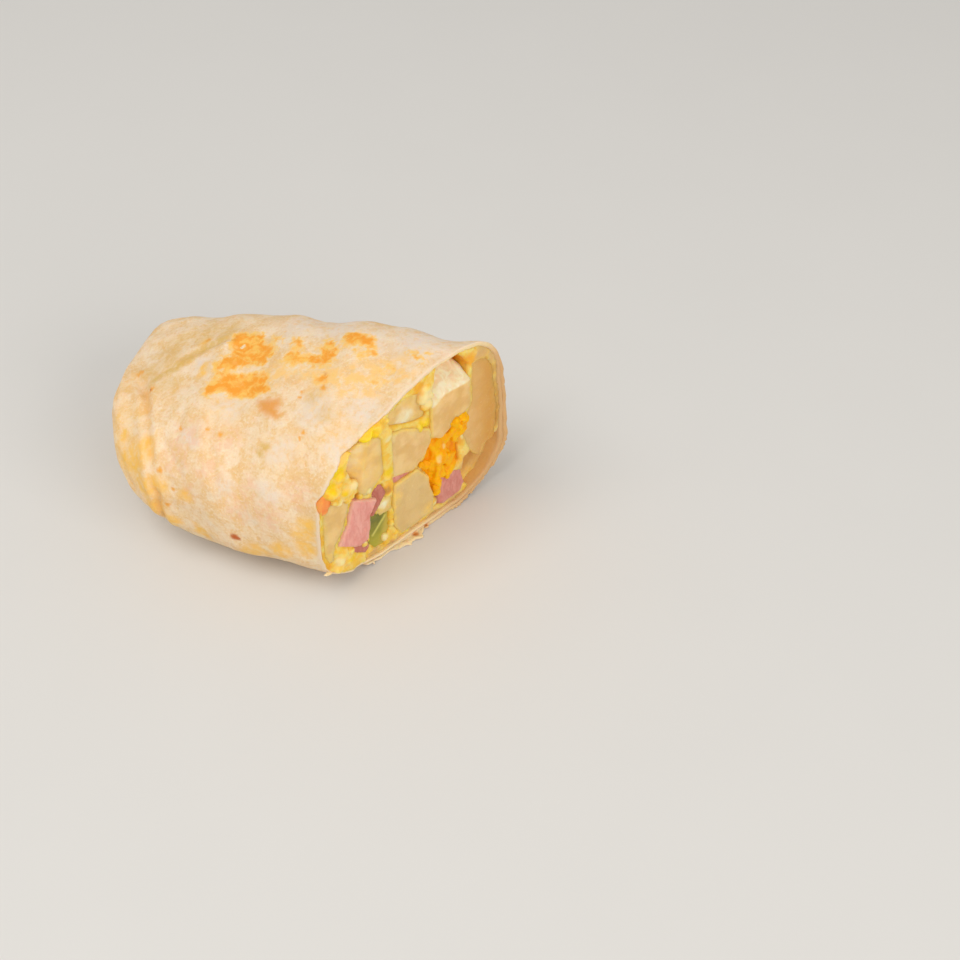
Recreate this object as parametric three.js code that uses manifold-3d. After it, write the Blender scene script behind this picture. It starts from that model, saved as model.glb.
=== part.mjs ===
// Half of a breakfast burrito, cut on the bias and lying with its seam underneath.
// Millimetres, +Z up. +X runs along the roll, from the folded end to the cut, and +Y is the far side.
// The origin is on the face that the roll rests on, under the middle of the roll.
//
// The tortilla is one cup-shaped shell that is closed at the folded end and open at the cut. Its last
// wrap is a flap that leaves the shell high on the far side, runs under the roll and ends in a free edge.
// Scrambled egg fills the shell, and diced potato, ham, pepper and melted cheddar sit in it at the cut.
import * as THREE from "three";
import { mergeVertices } from "three/addons/utils/BufferGeometryUtils.js";
import Module from "manifold-3d";

const wasm = await Module();
wasm.setup();

// ---------------------------------------------------------------- driving sizes
const DEG = Math.PI / 180;
const ROLL = {
  length: 94, // from the folded end to the middle of the cut
  originX: 52, // from the folded end to the frame's origin
  halfWidthAtEnd: 36.6,
  halfWidthAtCut: 32.7,
  waist: 17.2, // height of the widest line at the cut
  crownAtEnd: 48.8,
  crownAtCut: 59.1,
  foldHeight: 33.7, // height of the pinched fold at the closed end
  foldShift: 20, // how far that fold lies towards +Y
  farSideRise: 0.227, // the crown rises towards +Y
  settle: 0.8, // how far the underside is pressed flat
};
// How fast the width, the crown and the underside grow from the fold: a length and a superellipse power.
const GROWTH = { width: [53.8, 2.75], crown: [82.6, 1.6], underside: [43.2, 1.6] };
// Superellipse powers of the cross-section.
const SECTION = { side: 2.87, crown: 3, underside: 1.8 };
const CUT = { bias: 25.4 * DEG, overshoot: 4 }; // angle between the cut and a square cut
// Relief on the outside, as heights: lumps and ripples of filling under the sheet, and pleats round the fold.
const RELIEF = { lumps: 0.7, ripples: 0.4, pleats: 0.55, pleatCount: 6, pleatsAt: 7 };
// The folded corner's edge slants across the near side. It has a step down and a crease beside it.
const TUCK = { atMiddle: 15, middle: -10, slope: 0.62, step: 0.7, crease: 0.5 };
const SHEET = 1.5; // thickness of the tortilla
const CLEARANCE = 0.3; // gap between pieces that touch

// The flap, by angle round the roll: 0 is +Y, 90 the crown, -90 the underside.
const FLAP = {
  root: 40 * DEG,
  rootBlend: 22 * DEG,
  rootDip: 0.35, // how far the root sinks into the shell
  rootSheet: 0.95,
  edge: -116 * DEG,
  edgeWave: 5 * DEG,
  besideEdge: 1.5 * DEG, // the shell steps out to full size from here
  edgeBlend: 8 * DEG,
  slit: 0.35, // gap between the flap and the shell
  start: 9, // along the roll
  startBlend: 14,
};
const CAVITY = { start: 16, blend: 15 }; // the folded layers fill the end up to here

const TAU = 2 * Math.PI;
const CUT_SLOPE = Math.tan(CUT.bias);

// ---------------------------------------------------------------- small helpers
const clamp01 = (t) => Math.min(1, Math.max(0, t));
const mix = (a, b, t) => a + (b - a) * t;
const range = (n) => Array.from({ length: n }, (_, i) => i);
const smooth = (t) => clamp01(t) ** 2 * (3 - 2 * clamp01(t));
const signedPower = (v, p) => Math.sign(v) * Math.abs(v) ** p;
const growth = (x, [length, power]) => (1 - (1 - clamp01(x / length)) ** power) ** (1 / power);
const bell = (t) => Math.exp(-t * t);

function middleOf(points) {
  return points.reduce((sum, point) => sum.add(point), new THREE.Vector3()).divideScalar(points.length);
}

// A repeatable random number generator.
function randomFrom(seed) {
  let state = seed;
  return () => {
    state = (state * 1664525 + 1013904223) % 4294967296;
    return state / 4294967296;
  };
}

// ---------------------------------------------------------------- outer form of the roll
// How far the surface stands out of the plain cross-section. The underside has no relief.
function relief(x, angle, y) {
  const open = smooth(0.9 + Math.sin(angle));
  const lumps = RELIEF.lumps * Math.sin(0.17 * x + 2 * Math.cos(angle)) * Math.sin(2 * angle + 0.7);
  const ripples = RELIEF.ripples * Math.sin(0.33 * x - 3 * angle + 1);
  const pleats = RELIEF.pleats * Math.sin(RELIEF.pleatCount * angle + 0.3) * bell((x - RELIEF.pleatsAt) / 5);
  return open * (smooth(x / 20) * (lumps + ripples) + pleats + smooth(x / 12) * tuckRelief(x, y));
}

function tuckRelief(x, y) {
  const pastEdge = x - TUCK.atMiddle - TUCK.slope * (TUCK.middle - y);
  const onNearSide = smooth((-y - 1) / 8);
  return onNearSide * (TUCK.step * (1 - smooth((pastEdge + 1) / 2)) - TUCK.crease * bell(pastEdge / 1.6));
}

// The cross-section at x, before relief.
function sectionPoint(x, angle) {
  const along = x / ROLL.length;
  const widthGrowth = growth(x, GROWTH.width);
  const crownGrowth = growth(x, GROWTH.crown);
  const undersideGrowth = growth(x, GROWTH.underside);
  const halfWidth = mix(ROLL.halfWidthAtEnd, ROLL.halfWidthAtCut, along) * widthGrowth;
  const crown = mix(ROLL.foldHeight, mix(ROLL.crownAtEnd, ROLL.crownAtCut, along), crownGrowth);
  const waist = mix(ROLL.foldHeight, ROLL.waist, undersideGrowth);
  const underside = ROLL.foldHeight * (1 - undersideGrowth);
  const across = halfWidth * signedPower(Math.cos(angle), 2 / SECTION.side);
  const up = Math.sin(angle);
  const rise =
    up >= 0
      ? (crown - waist) * up ** (2 / SECTION.crown) + ROLL.farSideRise * across * up * crownGrowth
      : -(waist - underside) * (-up) ** (2 / SECTION.underside);
  return { y: across + ROLL.foldShift * (1 - widthGrowth), z: waist + rise - ROLL.settle };
}

// The outer surface with relief, moved inwards by depth.
function wallPoint(x, angle, depth) {
  const step = 0.02;
  const here = sectionPoint(x, angle);
  const before = sectionPoint(x, angle - step);
  const after = sectionPoint(x, angle + step);
  const [stepY, stepZ] = [after.y - before.y, after.z - before.z];
  const stepLength = Math.hypot(stepY, stepZ) || 1;
  const [outY, outZ] = [stepZ / stepLength, -stepY / stepLength];
  const raised = relief(x, angle, here.y);
  const z = here.z + raised * outZ;
  const onFloor = z <= 0;
  return { y: here.y + (raised - depth) * outY, z: onFloor ? depth : z - depth * outZ };
}

// A point at share along (0 the fold, 1 the cut), so that share 1 always lies on the cut plane.
function rollPoint(share, angle, depth, { past = 0, shrink = () => 1 } = {}) {
  let x = share * ROLL.length;
  let point;
  for (let i = 0; i < 5; i++) {
    point = wallPoint(x, angle, depth(x, angle));
    x = share * (ROLL.length + CUT_SLOPE * point.y + past);
  }
  const centre = sectionCentre(x);
  const k = shrink(x);
  return new THREE.Vector3(x - ROLL.originX, mix(centre.y, point.y, k), mix(centre.z, point.z, k));
}

function sectionCentre(x) {
  const [left, right] = [sectionPoint(x, Math.PI), sectionPoint(x, 0)];
  const [top, bottom] = [sectionPoint(x, Math.PI / 2), sectionPoint(x, -Math.PI / 2)];
  return { y: (left.y + right.y) / 2, z: (top.z + bottom.z) / 2 };
}

// ---------------------------------------------------------------- where the wrap is double
const flapEdge = (x) => FLAP.edge + FLAP.edgeWave * Math.sin(x / 15);

// 0 where the wrap is single, 1 where the flap lies outside the shell.
function doubled(x, angle) {
  const aboveEdge = (((angle - flapEdge(x)) % TAU) + TAU) % TAU;
  const toRoot = FLAP.root - flapEdge(x) - aboveEdge;
  const besideEdge = TAU - aboveEdge - FLAP.besideEdge;
  const underFlap = toRoot > -Math.PI / 2;
  const round = underFlap ? smooth(toRoot / FLAP.rootBlend) : smooth(1 - besideEdge / FLAP.edgeBlend);
  return round * smooth((x - FLAP.start) / FLAP.startBlend);
}

// Depths below the outer surface.
const shellOuter = (x, angle) => (SHEET + FLAP.slit) * doubled(x, angle);
const shellInner = (x, angle) => shellOuter(x, angle) + SHEET;
const fillingOuter = (x, angle) => shellInner(x, angle) + CLEARANCE;
const flapOuter = (x, angle) => FLAP.rootDip * (1 - doubled(x, angle));
const flapInner = (x, angle) => mix(FLAP.rootDip + FLAP.rootSheet, SHEET, doubled(x, angle));
// How far the hollow has opened at x, from 0 at its closed end to 1 where the wall is one sheet thick.
const hollow = (start) => (x) => growth(x - start, [CAVITY.blend, 2]);

// ---------------------------------------------------------------- closed surfaces
// Rings of points, closed by a pole at each end.
function ringSurface(firstPole, rings, lastPole) {
  const count = rings[0].length;
  const points = [firstPole, ...rings.flat(), lastPole];
  const faces = [];
  const at = (ring, j) => 1 + ring * count + (j % count);
  for (let j = 0; j < count; j++) {
    faces.push(0, at(0, j + 1), at(0, j));
    for (let i = 0; i + 1 < rings.length; i++) {
      faces.push(at(i, j), at(i, j + 1), at(i + 1, j), at(i + 1, j), at(i, j + 1), at(i + 1, j + 1));
    }
    faces.push(at(rings.length - 1, j), at(rings.length - 1, j + 1), points.length - 1);
  }
  return geometryOf(points, faces);
}

// A curved slab between two grids of points.
function slab(outer, inner) {
  const [rows, columns] = [outer.length, outer[0].length];
  const points = [...outer.flat(), ...inner.flat()];
  const faces = [];
  const at = (i, j, side) => side * rows * columns + i * columns + j;
  const quad = (a, b, c, d) => faces.push(a, b, c, a, c, d);
  for (let i = 0; i + 1 < rows; i++) {
    for (let j = 0; j + 1 < columns; j++) {
      quad(at(i, j, 0), at(i, j + 1, 0), at(i + 1, j + 1, 0), at(i + 1, j, 0));
      quad(at(i, j, 1), at(i + 1, j, 1), at(i + 1, j + 1, 1), at(i, j + 1, 1));
    }
    quad(at(i, 0, 0), at(i + 1, 0, 0), at(i + 1, 0, 1), at(i, 0, 1));
    quad(at(i, columns - 1, 1), at(i + 1, columns - 1, 1), at(i + 1, columns - 1, 0), at(i, columns - 1, 0));
  }
  for (let j = 0; j + 1 < columns; j++) {
    quad(at(0, j, 1), at(0, j + 1, 1), at(0, j + 1, 0), at(0, j, 0));
    quad(at(rows - 1, j, 0), at(rows - 1, j + 1, 0), at(rows - 1, j + 1, 1), at(rows - 1, j, 1));
  }
  return geometryOf(points, faces);
}

function geometryOf(points, faces) {
  const geometry = new THREE.BufferGeometry().setFromPoints(points);
  geometry.setIndex(faces);
  return geometry;
}

function solidOf(geometry) {
  const bare = new THREE.BufferGeometry();
  bare.setAttribute("position", geometry.getAttribute("position"));
  if (geometry.index) bare.setIndex(geometry.index);
  const merged = mergeVertices(bare, 1e-4);
  const vertProperties = merged.getAttribute("position").array;
  const triVerts = new Uint32Array(merged.index.array);
  return new wasm.Manifold(new wasm.Mesh({ numProp: 3, vertProperties, triVerts }));
}

function geometryFrom(solid) {
  const mesh = solid.getMesh();
  const positions = new Float32Array(mesh.numVert * 3);
  for (let i = 0; i < mesh.numVert; i++) {
    positions.set(mesh.vertProperties.subarray(i * mesh.numProp, i * mesh.numProp + 3), i * 3);
  }
  const geometry = new THREE.BufferGeometry();
  geometry.setAttribute("position", new THREE.BufferAttribute(positions, 3));
  geometry.setIndex(new THREE.BufferAttribute(mesh.triVerts, 1));
  geometry.computeVertexNormals();
  return geometry;
}

// The largest body of a solid, without the scraps that a cut leaves.
const mainBody = (solid) => solid.decompose().reduce((a, b) => (b.volume() > a.volume() ? b : a));
const joined = (solids) => solids.reduce((a, b) => a.add(b));

// ---------------------------------------------------------------- tortilla
const AROUND = 48; // points round the shell
const ALONG = { outer: 22, inner: 11, flap: 17, flapRound: 22 }; // steps along the roll, and round the flap
// Where the rings of the cavity lie, as shares of the way from the fold to the cut.
const cavityShares = range(ALONG.inner).map((i) => {
  const firstRing = (CAVITY.start + 2) / ROLL.length;
  return mix(firstRing, 1, (i / (ALONG.inner - 1)) ** 1.5);
});

// Angles round the shell: one each side of the flap's edge, then even steps round to where it steps out.
function shellAngles(x) {
  const edge = flapEdge(x);
  const turn = TAU - 2 * FLAP.besideEdge - FLAP.edgeBlend;
  const even = range(AROUND - 1).map((j) => edge + FLAP.besideEdge + (j / (AROUND - 2)) * turn);
  return [edge - FLAP.besideEdge, ...even];
}

function shellRing(share, depth, options) {
  const x = share * ROLL.length;
  return shellAngles(x).map((angle) => rollPoint(share, angle, depth, options));
}

// The space inside the roll at some depth, from its closed end to a little past the cut.
function insideOfRoll(depth, margin) {
  const start = CAVITY.start + margin;
  const end = sectionCentre(CAVITY.start);
  const rings = cavityShares.map((share) => shellRing(share, depth, { shrink: hollow(start) }));
  rings.push(shellRing(1, depth, { past: CUT.overshoot }));
  const closedEnd = new THREE.Vector3(start - ROLL.originX, end.y, end.z);
  return ringSurface(closedEnd, rings, middleOf(rings.at(-1)));
}

// The roll as a solid body, which ends flat at the cut.
function wholeRoll() {
  const shares = range(ALONG.outer).map((i) => ((i + 1) / ALONG.outer) ** 1.45);
  const rings = shares.map((share) => shellRing(share, shellOuter));
  const fold = new THREE.Vector3(-ROLL.originX, ROLL.foldShift, ROLL.foldHeight - ROLL.settle);
  return ringSurface(fold, rings, middleOf(rings.at(-1)));
}

function tortillaFlap() {
  const first = FLAP.start / ROLL.length;
  const shares = range(ALONG.flap + 1).map((i) => mix(first, 1, (i / ALONG.flap) ** 1.1));
  const grid = (depth) =>
    shares.map((share) => {
      const edge = flapEdge(share * ROLL.length);
      const angles = range(ALONG.flapRound + 1).map((j) => mix(edge, FLAP.root, j / ALONG.flapRound));
      return angles.map((angle) => rollPoint(share, angle, depth));
    });
  return slab(grid(flapOuter), grid(flapInner));
}

const shell = solidOf(wholeRoll()).subtract(solidOf(insideOfRoll(shellInner, 0)));
const tortilla = mainBody(shell.add(solidOf(tortillaFlap())));

// ---------------------------------------------------------------- the frame of the cut
// u runs across the cut towards the far side, v up, and n out of the cut.
const across = new THREE.Vector3(Math.sin(CUT.bias), Math.cos(CUT.bias), 0);
const upward = new THREE.Vector3(0, 0, 1);
const outward = new THREE.Vector3(Math.cos(CUT.bias), -Math.sin(CUT.bias), 0);
const cutMatrix = new THREE.Matrix4()
  .makeBasis(across, upward, outward)
  .setPosition(ROLL.length - ROLL.originX, 0, 0);
const toCutFrame = cutMatrix.clone().invert();

const room = solidOf(insideOfRoll(fillingOuter, 2 * CLEARANCE).applyMatrix4(toCutFrame));

// ---------------------------------------------------------------- diced pieces
// Each outline is the piece's cut face, as [u, v] corners. out is how far it stands out of the cut.
const DICE = {
  potato_front: {
    outline: [
      [-30.6, 35.6], [-25, 31.8], [-27.6, 22.8], [-31, 18],
      [-32.4, 11.8], [-36, 10], [-39, 15], [-37, 31],
    ],
    depth: 13,
    out: 0.1,
  },
  potato_upper: {
    outline: [
      [-22, 50.6], [-12.4, 48], [-12.1, 34.4], [-17.8, 29.6],
      [-20.4, 30], [-23, 36.6], [-25.4, 43.4],
    ],
    depth: 14,
    out: 0.4,
  },
  potato_middle: {
    outline: [[-9.9, 46.8], [-4.6, 45], [4.4, 39.2], [4.4, 35.2], [2.4, 30.6], [-2.6, 28.4], [-10, 30.4]],
    depth: 13,
    out: 0.9,
  },
  potato_slice: {
    outline: [[-9.8, 57], [3, 54], [4.2, 45.2], [-0.4, 45.2], [-9.8, 50.4]],
    depth: 8,
    out: -0.7,
  },
  potato_lower: {
    outline: [
      [-9, 26.6], [-0.8, 27], [2.6, 21.8], [4.8, 12.4],
      [4.6, 6.4], [-7.8, 6.2], [-10, 10.4], [-9.8, 21.6],
    ],
    depth: 14,
    out: 1,
  },
  potato_crown: {
    outline: [[5.4, 46.6], [10, 49], [19.8, 48.2], [20, 38.4], [15.8, 36.4], [8.6, 33.2], [5, 35.8]],
    depth: 13,
    out: 0.9,
  },
  potato_far: {
    outline: [
      [21.2, 53], [27, 51.6], [31.4, 44.6], [31.6, 24],
      [29.8, 18.2], [20.4, 19.4], [16.4, 29.6], [21, 38.6],
    ],
    depth: 16,
    out: -0.3,
  },
  potato_small: {
    outline: [[-14.8, 23.9], [-12.8, 24.6], [-10.6, 21.6], [-10.5, 18.4], [-14.6, 17.8], [-15.8, 21.2]],
    depth: 6,
    out: -0.6,
  },
  ham_front: {
    outline: [
      [-24.2, 31.6], [-16, 26], [-18.6, 21.8], [-19.6, 12.8],
      [-23, 12.2], [-30.2, 17.6], [-26.6, 23.4],
    ],
    depth: 11,
    out: 1,
  },
  ham_middle: {
    outline: [[-17.4, 28.4], [-14.8, 30.8], [-12.6, 29.6], [-13.6, 25.2], [-15.2, 25], [-17.2, 27.4]],
    depth: 9,
    out: -1.3,
  },
  ham_strip: {
    outline: [[-9.6, 29.6], [-2.4, 27.8], [-4, 25.6], [-9.4, 26.4]],
    depth: 8,
    out: -0.8,
  },
  ham_low: {
    outline: [[-26, 13.6], [-19.6, 12.2], [-19.8, 8.8], [-22.4, 8.8], [-25, 10.8]],
    depth: 9,
    out: -1.2,
  },
  ham_far: {
    outline: [[7.2, 16.4], [10.6, 17.6], [16.6, 14.4], [18, 8], [16.8, 5.4], [9.8, 4.6], [6.8, 6.4]],
    depth: 11,
    out: -0.2,
  },
  pepper_green: {
    outline: [
      [-17, 23.2], [-15.2, 18.2], [-10.6, 17.8], [-12.6, 12.8],
      [-17.4, 6.2], [-18.9, 8.2], [-18.8, 19.4],
    ],
    depth: 10,
    out: -0.7,
  },
  pepper_orange: {
    outline: [[-34.8, 40], [-31.4, 38.2], [-32, 34.8], [-33.6, 33.2], [-36, 34]],
    depth: 8,
    out: -0.2,
  },
};
const DICE_BEVEL = 0.7;

// A diced piece, grown by margin on every side, in the frame of the cut.
function dicedPiece({ outline, depth, out }, margin) {
  const shape = new THREE.Shape(outline.map(([u, v]) => new THREE.Vector2(u, v)));
  const bevel = DICE_BEVEL;
  const geometry = new THREE.ExtrudeGeometry(shape, {
    depth: depth - 2 * bevel,
    bevelEnabled: true,
    bevelThickness: bevel + margin,
    bevelSize: bevel,
    bevelOffset: margin - bevel,
    bevelSegments: 2,
    steps: 1,
  });
  return geometry.translate(0, 0, out - depth + bevel);
}

// Pieces that meet are parted in the order of the table: a later one gives way.
function dicedSolids() {
  const made = new Map();
  let taken = null;
  for (const [name, piece] of Object.entries(DICE)) {
    const whole = solidOf(dicedPiece(piece, 0)).intersect(room);
    made.set(name, mainBody(taken ? whole.subtract(taken) : whole));
    const grown = solidOf(dicedPiece(piece, CLEARANCE));
    taken = taken ? taken.add(grown) : grown;
  }
  return { made, taken };
}
const dice = dicedSolids();

// ---------------------------------------------------------------- melted cheddar
// A melted clump with shreds that still stand out on its face. They run mostly down the clump.
const CHEDDAR = { shreds: 16, length: 8, thickness: 2.2, seed: 11 };
const CLUMP = {
  outline: [
    [12, 36.6], [18.8, 34.8], [15.6, 27], [16.4, 18.4],
    [11, 17.6], [5.8, 11], [1.4, 24.8], [4, 34],
  ],
  depth: 7,
  out: -1.1,
};
// The clump's middle line, as [u, v, half width], from top to foot.
const CLUMP_LINE = [
  [16.4, 34.4, 1.4], [12, 31.6, 3.6], [7.4, 28, 5.4],
  [9, 23.6, 5.4], [9, 19.4, 4.4], [6, 14.6, 0.4],
];

// The clump's middle line at a share of its length.
function clumpAt(share) {
  const along = share * (CLUMP_LINE.length - 1);
  const low = Math.min(Math.floor(along), CLUMP_LINE.length - 2);
  return [0, 1, 2].map((k) => mix(CLUMP_LINE[low][k], CLUMP_LINE[low + 1][k], along - low));
}

function cheddarSolid(margin) {
  const random = randomFrom(CHEDDAR.seed);
  const radius = CHEDDAR.thickness / 2;
  const shreds = range(CHEDDAR.shreds).map((i) => {
    const [u, v, half] = clumpAt(i / (CHEDDAR.shreds - 1));
    const sideways = (random() * 2 - 1) * half;
    const lean = (random() - 0.5) * 2;
    const tilt = (random() - 0.5) * 0.4;
    const shred = new THREE.CapsuleGeometry(radius + margin, CHEDDAR.length - CHEDDAR.thickness, 1, 5);
    return solidOf(shred.rotateX(tilt).rotateZ(lean).translate(u + sideways, v, CLUMP.out - 0.3 * radius));
  });
  return joined([solidOf(dicedPiece(CLUMP, margin)), ...shreds]);
}
const cheddar = mainBody(cheddarSolid(0).intersect(room).subtract(dice.taken));

// ---------------------------------------------------------------- scrambled egg
// The egg's face lies a little behind the cut, with curds on it where no diced piece hides it.
const EGG = {
  recess: 2.2,
  unevenness: 0.9,
  columns: 18,
  rows: 15,
  smallestRadius: 0.82, // a curd's radius varies between these shares of its stated size
  largestRadius: 1.18,
  seed: 5,
};
// Curds, as [u, v, radius].
const CURDS = [
  [-29.4, 12.4, 3.4], [-30.6, 8.6, 2.6], [-27, 9.8, 2.2],
  [-29.6, 38.8, 2.9], [-27, 42.4, 2.6], [-25.6, 35.6, 2.6], [-25.2, 46.6, 2.1],
  [-22.4, 51, 2.1], [-17.2, 52, 2.3], [-12.4, 51.2, 2],
  [-11, 44, 1.4], [-11.2, 37.6, 1.5], [-11.6, 31.6, 1.6],
  [-12.2, 14, 1.6], [-10.6, 8.6, 2.2], [-14.4, 5.8, 1.8],
  [3.8, 52.8, 2.9], [4.6, 48, 2.2], [23.4, 56.4, 2.3], [18, 31.4, 1.9], [5.6, 7.6, 1.6],
];
// Where the filling has settled: over the crown's potato, and in the far corner beside the lower ham.
const HOLLOWS = [
  {
    outline: [[5.6, 47.4], [10, 49], [20.4, 48.4], [21.8, 53], [20, 58.6], [14, 63], [8, 61], [6.6, 54]],
    depth: 14,
    out: 2,
  },
  { outline: [[18.6, 18.6], [25, 17], [29, 10], [22, 4], [18.6, 8]], depth: 7, out: 2 },
];

// A block with a gently uneven front that runs back along the roll. The room in the shell cuts it to shape.
function eggBase() {
  const wave = (u, v) => Math.sin(0.9 * u + 1.3) * Math.sin(0.8 * v) + Math.sin(0.5 * u - 0.6 * v);
  const front = range(EGG.rows + 1).map((i) =>
    range(EGG.columns + 1).map((j) => {
      const [u, v] = [mix(-42, 42, j / EGG.columns), mix(-4, 66, i / EGG.rows)];
      return new THREE.Vector3(u, v, -EGG.recess + (EGG.unevenness / 2) * wave(u, v));
    }),
  );
  const alongRoll = new THREE.Vector3(Math.sin(CUT.bias), 0, Math.cos(CUT.bias));
  const farBack = (point) => point.clone().addScaledVector(alongRoll, -1.5 * ROLL.length);
  return slab(front, front.map((row) => row.map(farBack)));
}

// A ball with an uneven surface.
function curdSolid([u, v, radius], random) {
  const ball = new THREE.IcosahedronGeometry(radius, 1);
  ball.deleteAttribute("normal");
  ball.deleteAttribute("uv");
  const curd = mergeVertices(ball);
  const position = curd.getAttribute("position");
  for (let i = 0; i < position.count; i++) {
    const k = mix(EGG.smallestRadius, EGG.largestRadius, random());
    position.setXYZ(i, position.getX(i) * k, position.getY(i) * k, position.getZ(i) * k);
  }
  return solidOf(curd.translate(u, v, -EGG.recess + 0.25 * radius));
}

function eggSolid() {
  const random = randomFrom(EGG.seed);
  const curds = CURDS.map((curd) => curdSolid(curd, random));
  return mainBody(
    joined([solidOf(eggBase()), ...curds])
      .subtract(joined(HOLLOWS.map((hollowed) => solidOf(dicedPiece(hollowed, 0)))))
      .intersect(room)
      .subtract(dice.taken)
      .subtract(cheddarSolid(CLEARANCE)),
  );
}
const egg = eggSolid();

// ---------------------------------------------------------------- scene graph
const finish = (color, roughness) => new THREE.MeshStandardMaterial({ color, roughness, metalness: 0 });
const MATERIALS = {
  tortilla: finish(0xecd7b4, 0.75),
  egg: finish(0xf3cf5a, 0.55),
  potato: finish(0xe0c48a, 0.45),
  ham: finish(0xdb8f8f, 0.5),
  pepper_green: finish(0x8fa63a, 0.35),
  pepper_orange: finish(0xf59a4e, 0.35),
  cheddar: finish(0xf9a81c, 0.45),
};
const materialFor = (name) => MATERIALS[name] ?? MATERIALS[name.split("_")[0]];

function meshOf(name, solid) {
  const mesh = new THREE.Mesh(geometryFrom(solid), materialFor(name));
  mesh.name = name;
  return mesh;
}

const filling = new THREE.Group();
cutMatrix.decompose(filling.position, filling.quaternion, filling.scale);
filling.add(meshOf("egg", egg), meshOf("cheddar", cheddar));
for (const [name, solid] of dice.made) filling.add(meshOf(name, solid));

const burritoHalf = new THREE.Group();
burritoHalf.add(meshOf("tortilla", tortilla), filling);

export default burritoHalf;
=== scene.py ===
"""The looks of half a breakfast burrito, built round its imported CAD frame.

Sizes are in millimetres in the frame's own axes: +X runs along the roll to the cut, +Y is the
far side, +Z is up. They become metres where a mesh is made. The cut has axes of its own: u runs
across it towards the far side, v is up and n points out of it.
"""
import math
from types import SimpleNamespace as Sizes

import bmesh
import bpy
import numpy as np
from mathutils import Matrix, Vector


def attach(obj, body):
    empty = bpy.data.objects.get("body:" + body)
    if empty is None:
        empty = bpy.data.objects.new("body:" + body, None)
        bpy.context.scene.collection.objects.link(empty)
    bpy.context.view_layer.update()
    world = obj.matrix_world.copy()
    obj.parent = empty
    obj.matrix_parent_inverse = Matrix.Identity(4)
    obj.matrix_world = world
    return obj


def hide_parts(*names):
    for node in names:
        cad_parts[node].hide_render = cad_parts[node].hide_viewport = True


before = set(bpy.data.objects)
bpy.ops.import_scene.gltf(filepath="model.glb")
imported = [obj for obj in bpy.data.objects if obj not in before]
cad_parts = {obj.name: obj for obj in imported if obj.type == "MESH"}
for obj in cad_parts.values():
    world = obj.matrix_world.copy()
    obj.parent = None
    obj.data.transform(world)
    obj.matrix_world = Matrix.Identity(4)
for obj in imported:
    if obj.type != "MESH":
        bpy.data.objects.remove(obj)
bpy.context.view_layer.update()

# -------------------------------------------- driving sizes, the frame's own but for the slit
MM = 0.001
DEG = math.pi / 180
TAU = 2 * math.pi
ROLL = Sizes(
    length=94,  # from the folded end to the middle of the cut
    origin_x=52,  # from the folded end to the frame's origin
    half_width_at_end=36.6,
    half_width_at_cut=32.7,
    waist=17.2,  # height of the widest line at the cut
    crown_at_end=48.8,
    crown_at_cut=59.1,
    fold_height=33.7,  # height of the pinched fold at the closed end
    fold_shift=20,  # how far that fold lies towards +Y
    far_side_rise=0.227,  # the crown rises towards +Y
    settle=0.8,  # how far the underside is pressed flat
)
# How fast each grows from the fold: a length and a superellipse power.
GROWTH = Sizes(width=(53.8, 2.75), crown=(82.6, 1.6), underside=(43.2, 1.6))
SECTION = Sizes(side=2.87, crown=3, underside=1.8)  # superellipse powers of the cross-section
CUT_BIAS = 25.4 * DEG
CUT_SLOPE = math.tan(CUT_BIAS)
RELIEF = Sizes(lumps=0.7, ripples=0.4, pleats=0.55, pleat_count=6, pleats_at=7, pleat_reach=5)
# The edge of the tucked layer on the near side: its line, step and crease.
TUCK = Sizes(at_middle=15, middle=-10, slope=0.62, step=0.7, crease=0.5, crease_reach=1.6)
SHEET = 1.5  # thickness of the tortilla
FLAP = Sizes(
    root=40 * DEG,  # where it leaves the shell
    root_blend=22 * DEG,
    edge=-116 * DEG,  # its free edge
    edge_wave=5 * DEG,
    beside_edge=1.5 * DEG,  # past the edge, the shell keeps low this far
    edge_blend=8 * DEG,  # and then comes up over this stretch
    slit=0.06,  # between flap and shell, where the frame has more
    start=9,
    start_blend=14,
)
CAVITY = Sizes(start=16, blend=15)  # the folded layers fill the end up to here

# Axes of the cut, and the point where they meet.
CUT_ACROSS = np.array([math.sin(CUT_BIAS), math.cos(CUT_BIAS), 0])
CUT_UP = np.array([0, 0, 1])
CUT_OUT = np.array([math.cos(CUT_BIAS), -math.sin(CUT_BIAS), 0])
CUT_MIDDLE = np.array([ROLL.length - ROLL.origin_x, 0, 0])


# ---------------------------------------------------------------- small helpers
def mix(a, b, t):
    return a + (b - a) * t


def smooth(t):
    t = np.clip(t, 0, 1)
    return t * t * (3 - 2 * t)


def bell(t):
    return np.exp(-t * t)


def rounded_off(t):
    """From 0 at t = 0 to 1 at t = 1, along a quarter of a circle."""
    return np.sqrt(np.clip(1 - (1 - np.clip(t, 0, 1)) ** 2, 0, 1))


def signed_power(value, power):
    return np.sign(value) * np.abs(value) ** power


def growth(x, reach):
    length, power = reach
    return (1 - (1 - np.clip(x / length, 0, 1)) ** power) ** (1 / power)


def largest(*values):
    return np.maximum.reduce(np.broadcast_arrays(*values))


def stacked(*axes):
    """Points from their coordinates, which may be grids that fit together."""
    return np.stack(np.broadcast_arrays(*axes), axis=-1)


def to_cut(points):
    """Points of the frame as u, v and n."""
    moved = points - CUT_MIDDLE
    return moved @ CUT_ACROSS, moved @ CUT_UP, moved @ CUT_OUT


def from_cut(u, v, n):
    u, v, n = np.broadcast_arrays(u, v, n)
    return CUT_MIDDLE + u[..., None] * CUT_ACROSS + v[..., None] * CUT_UP + n[..., None] * CUT_OUT


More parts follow.
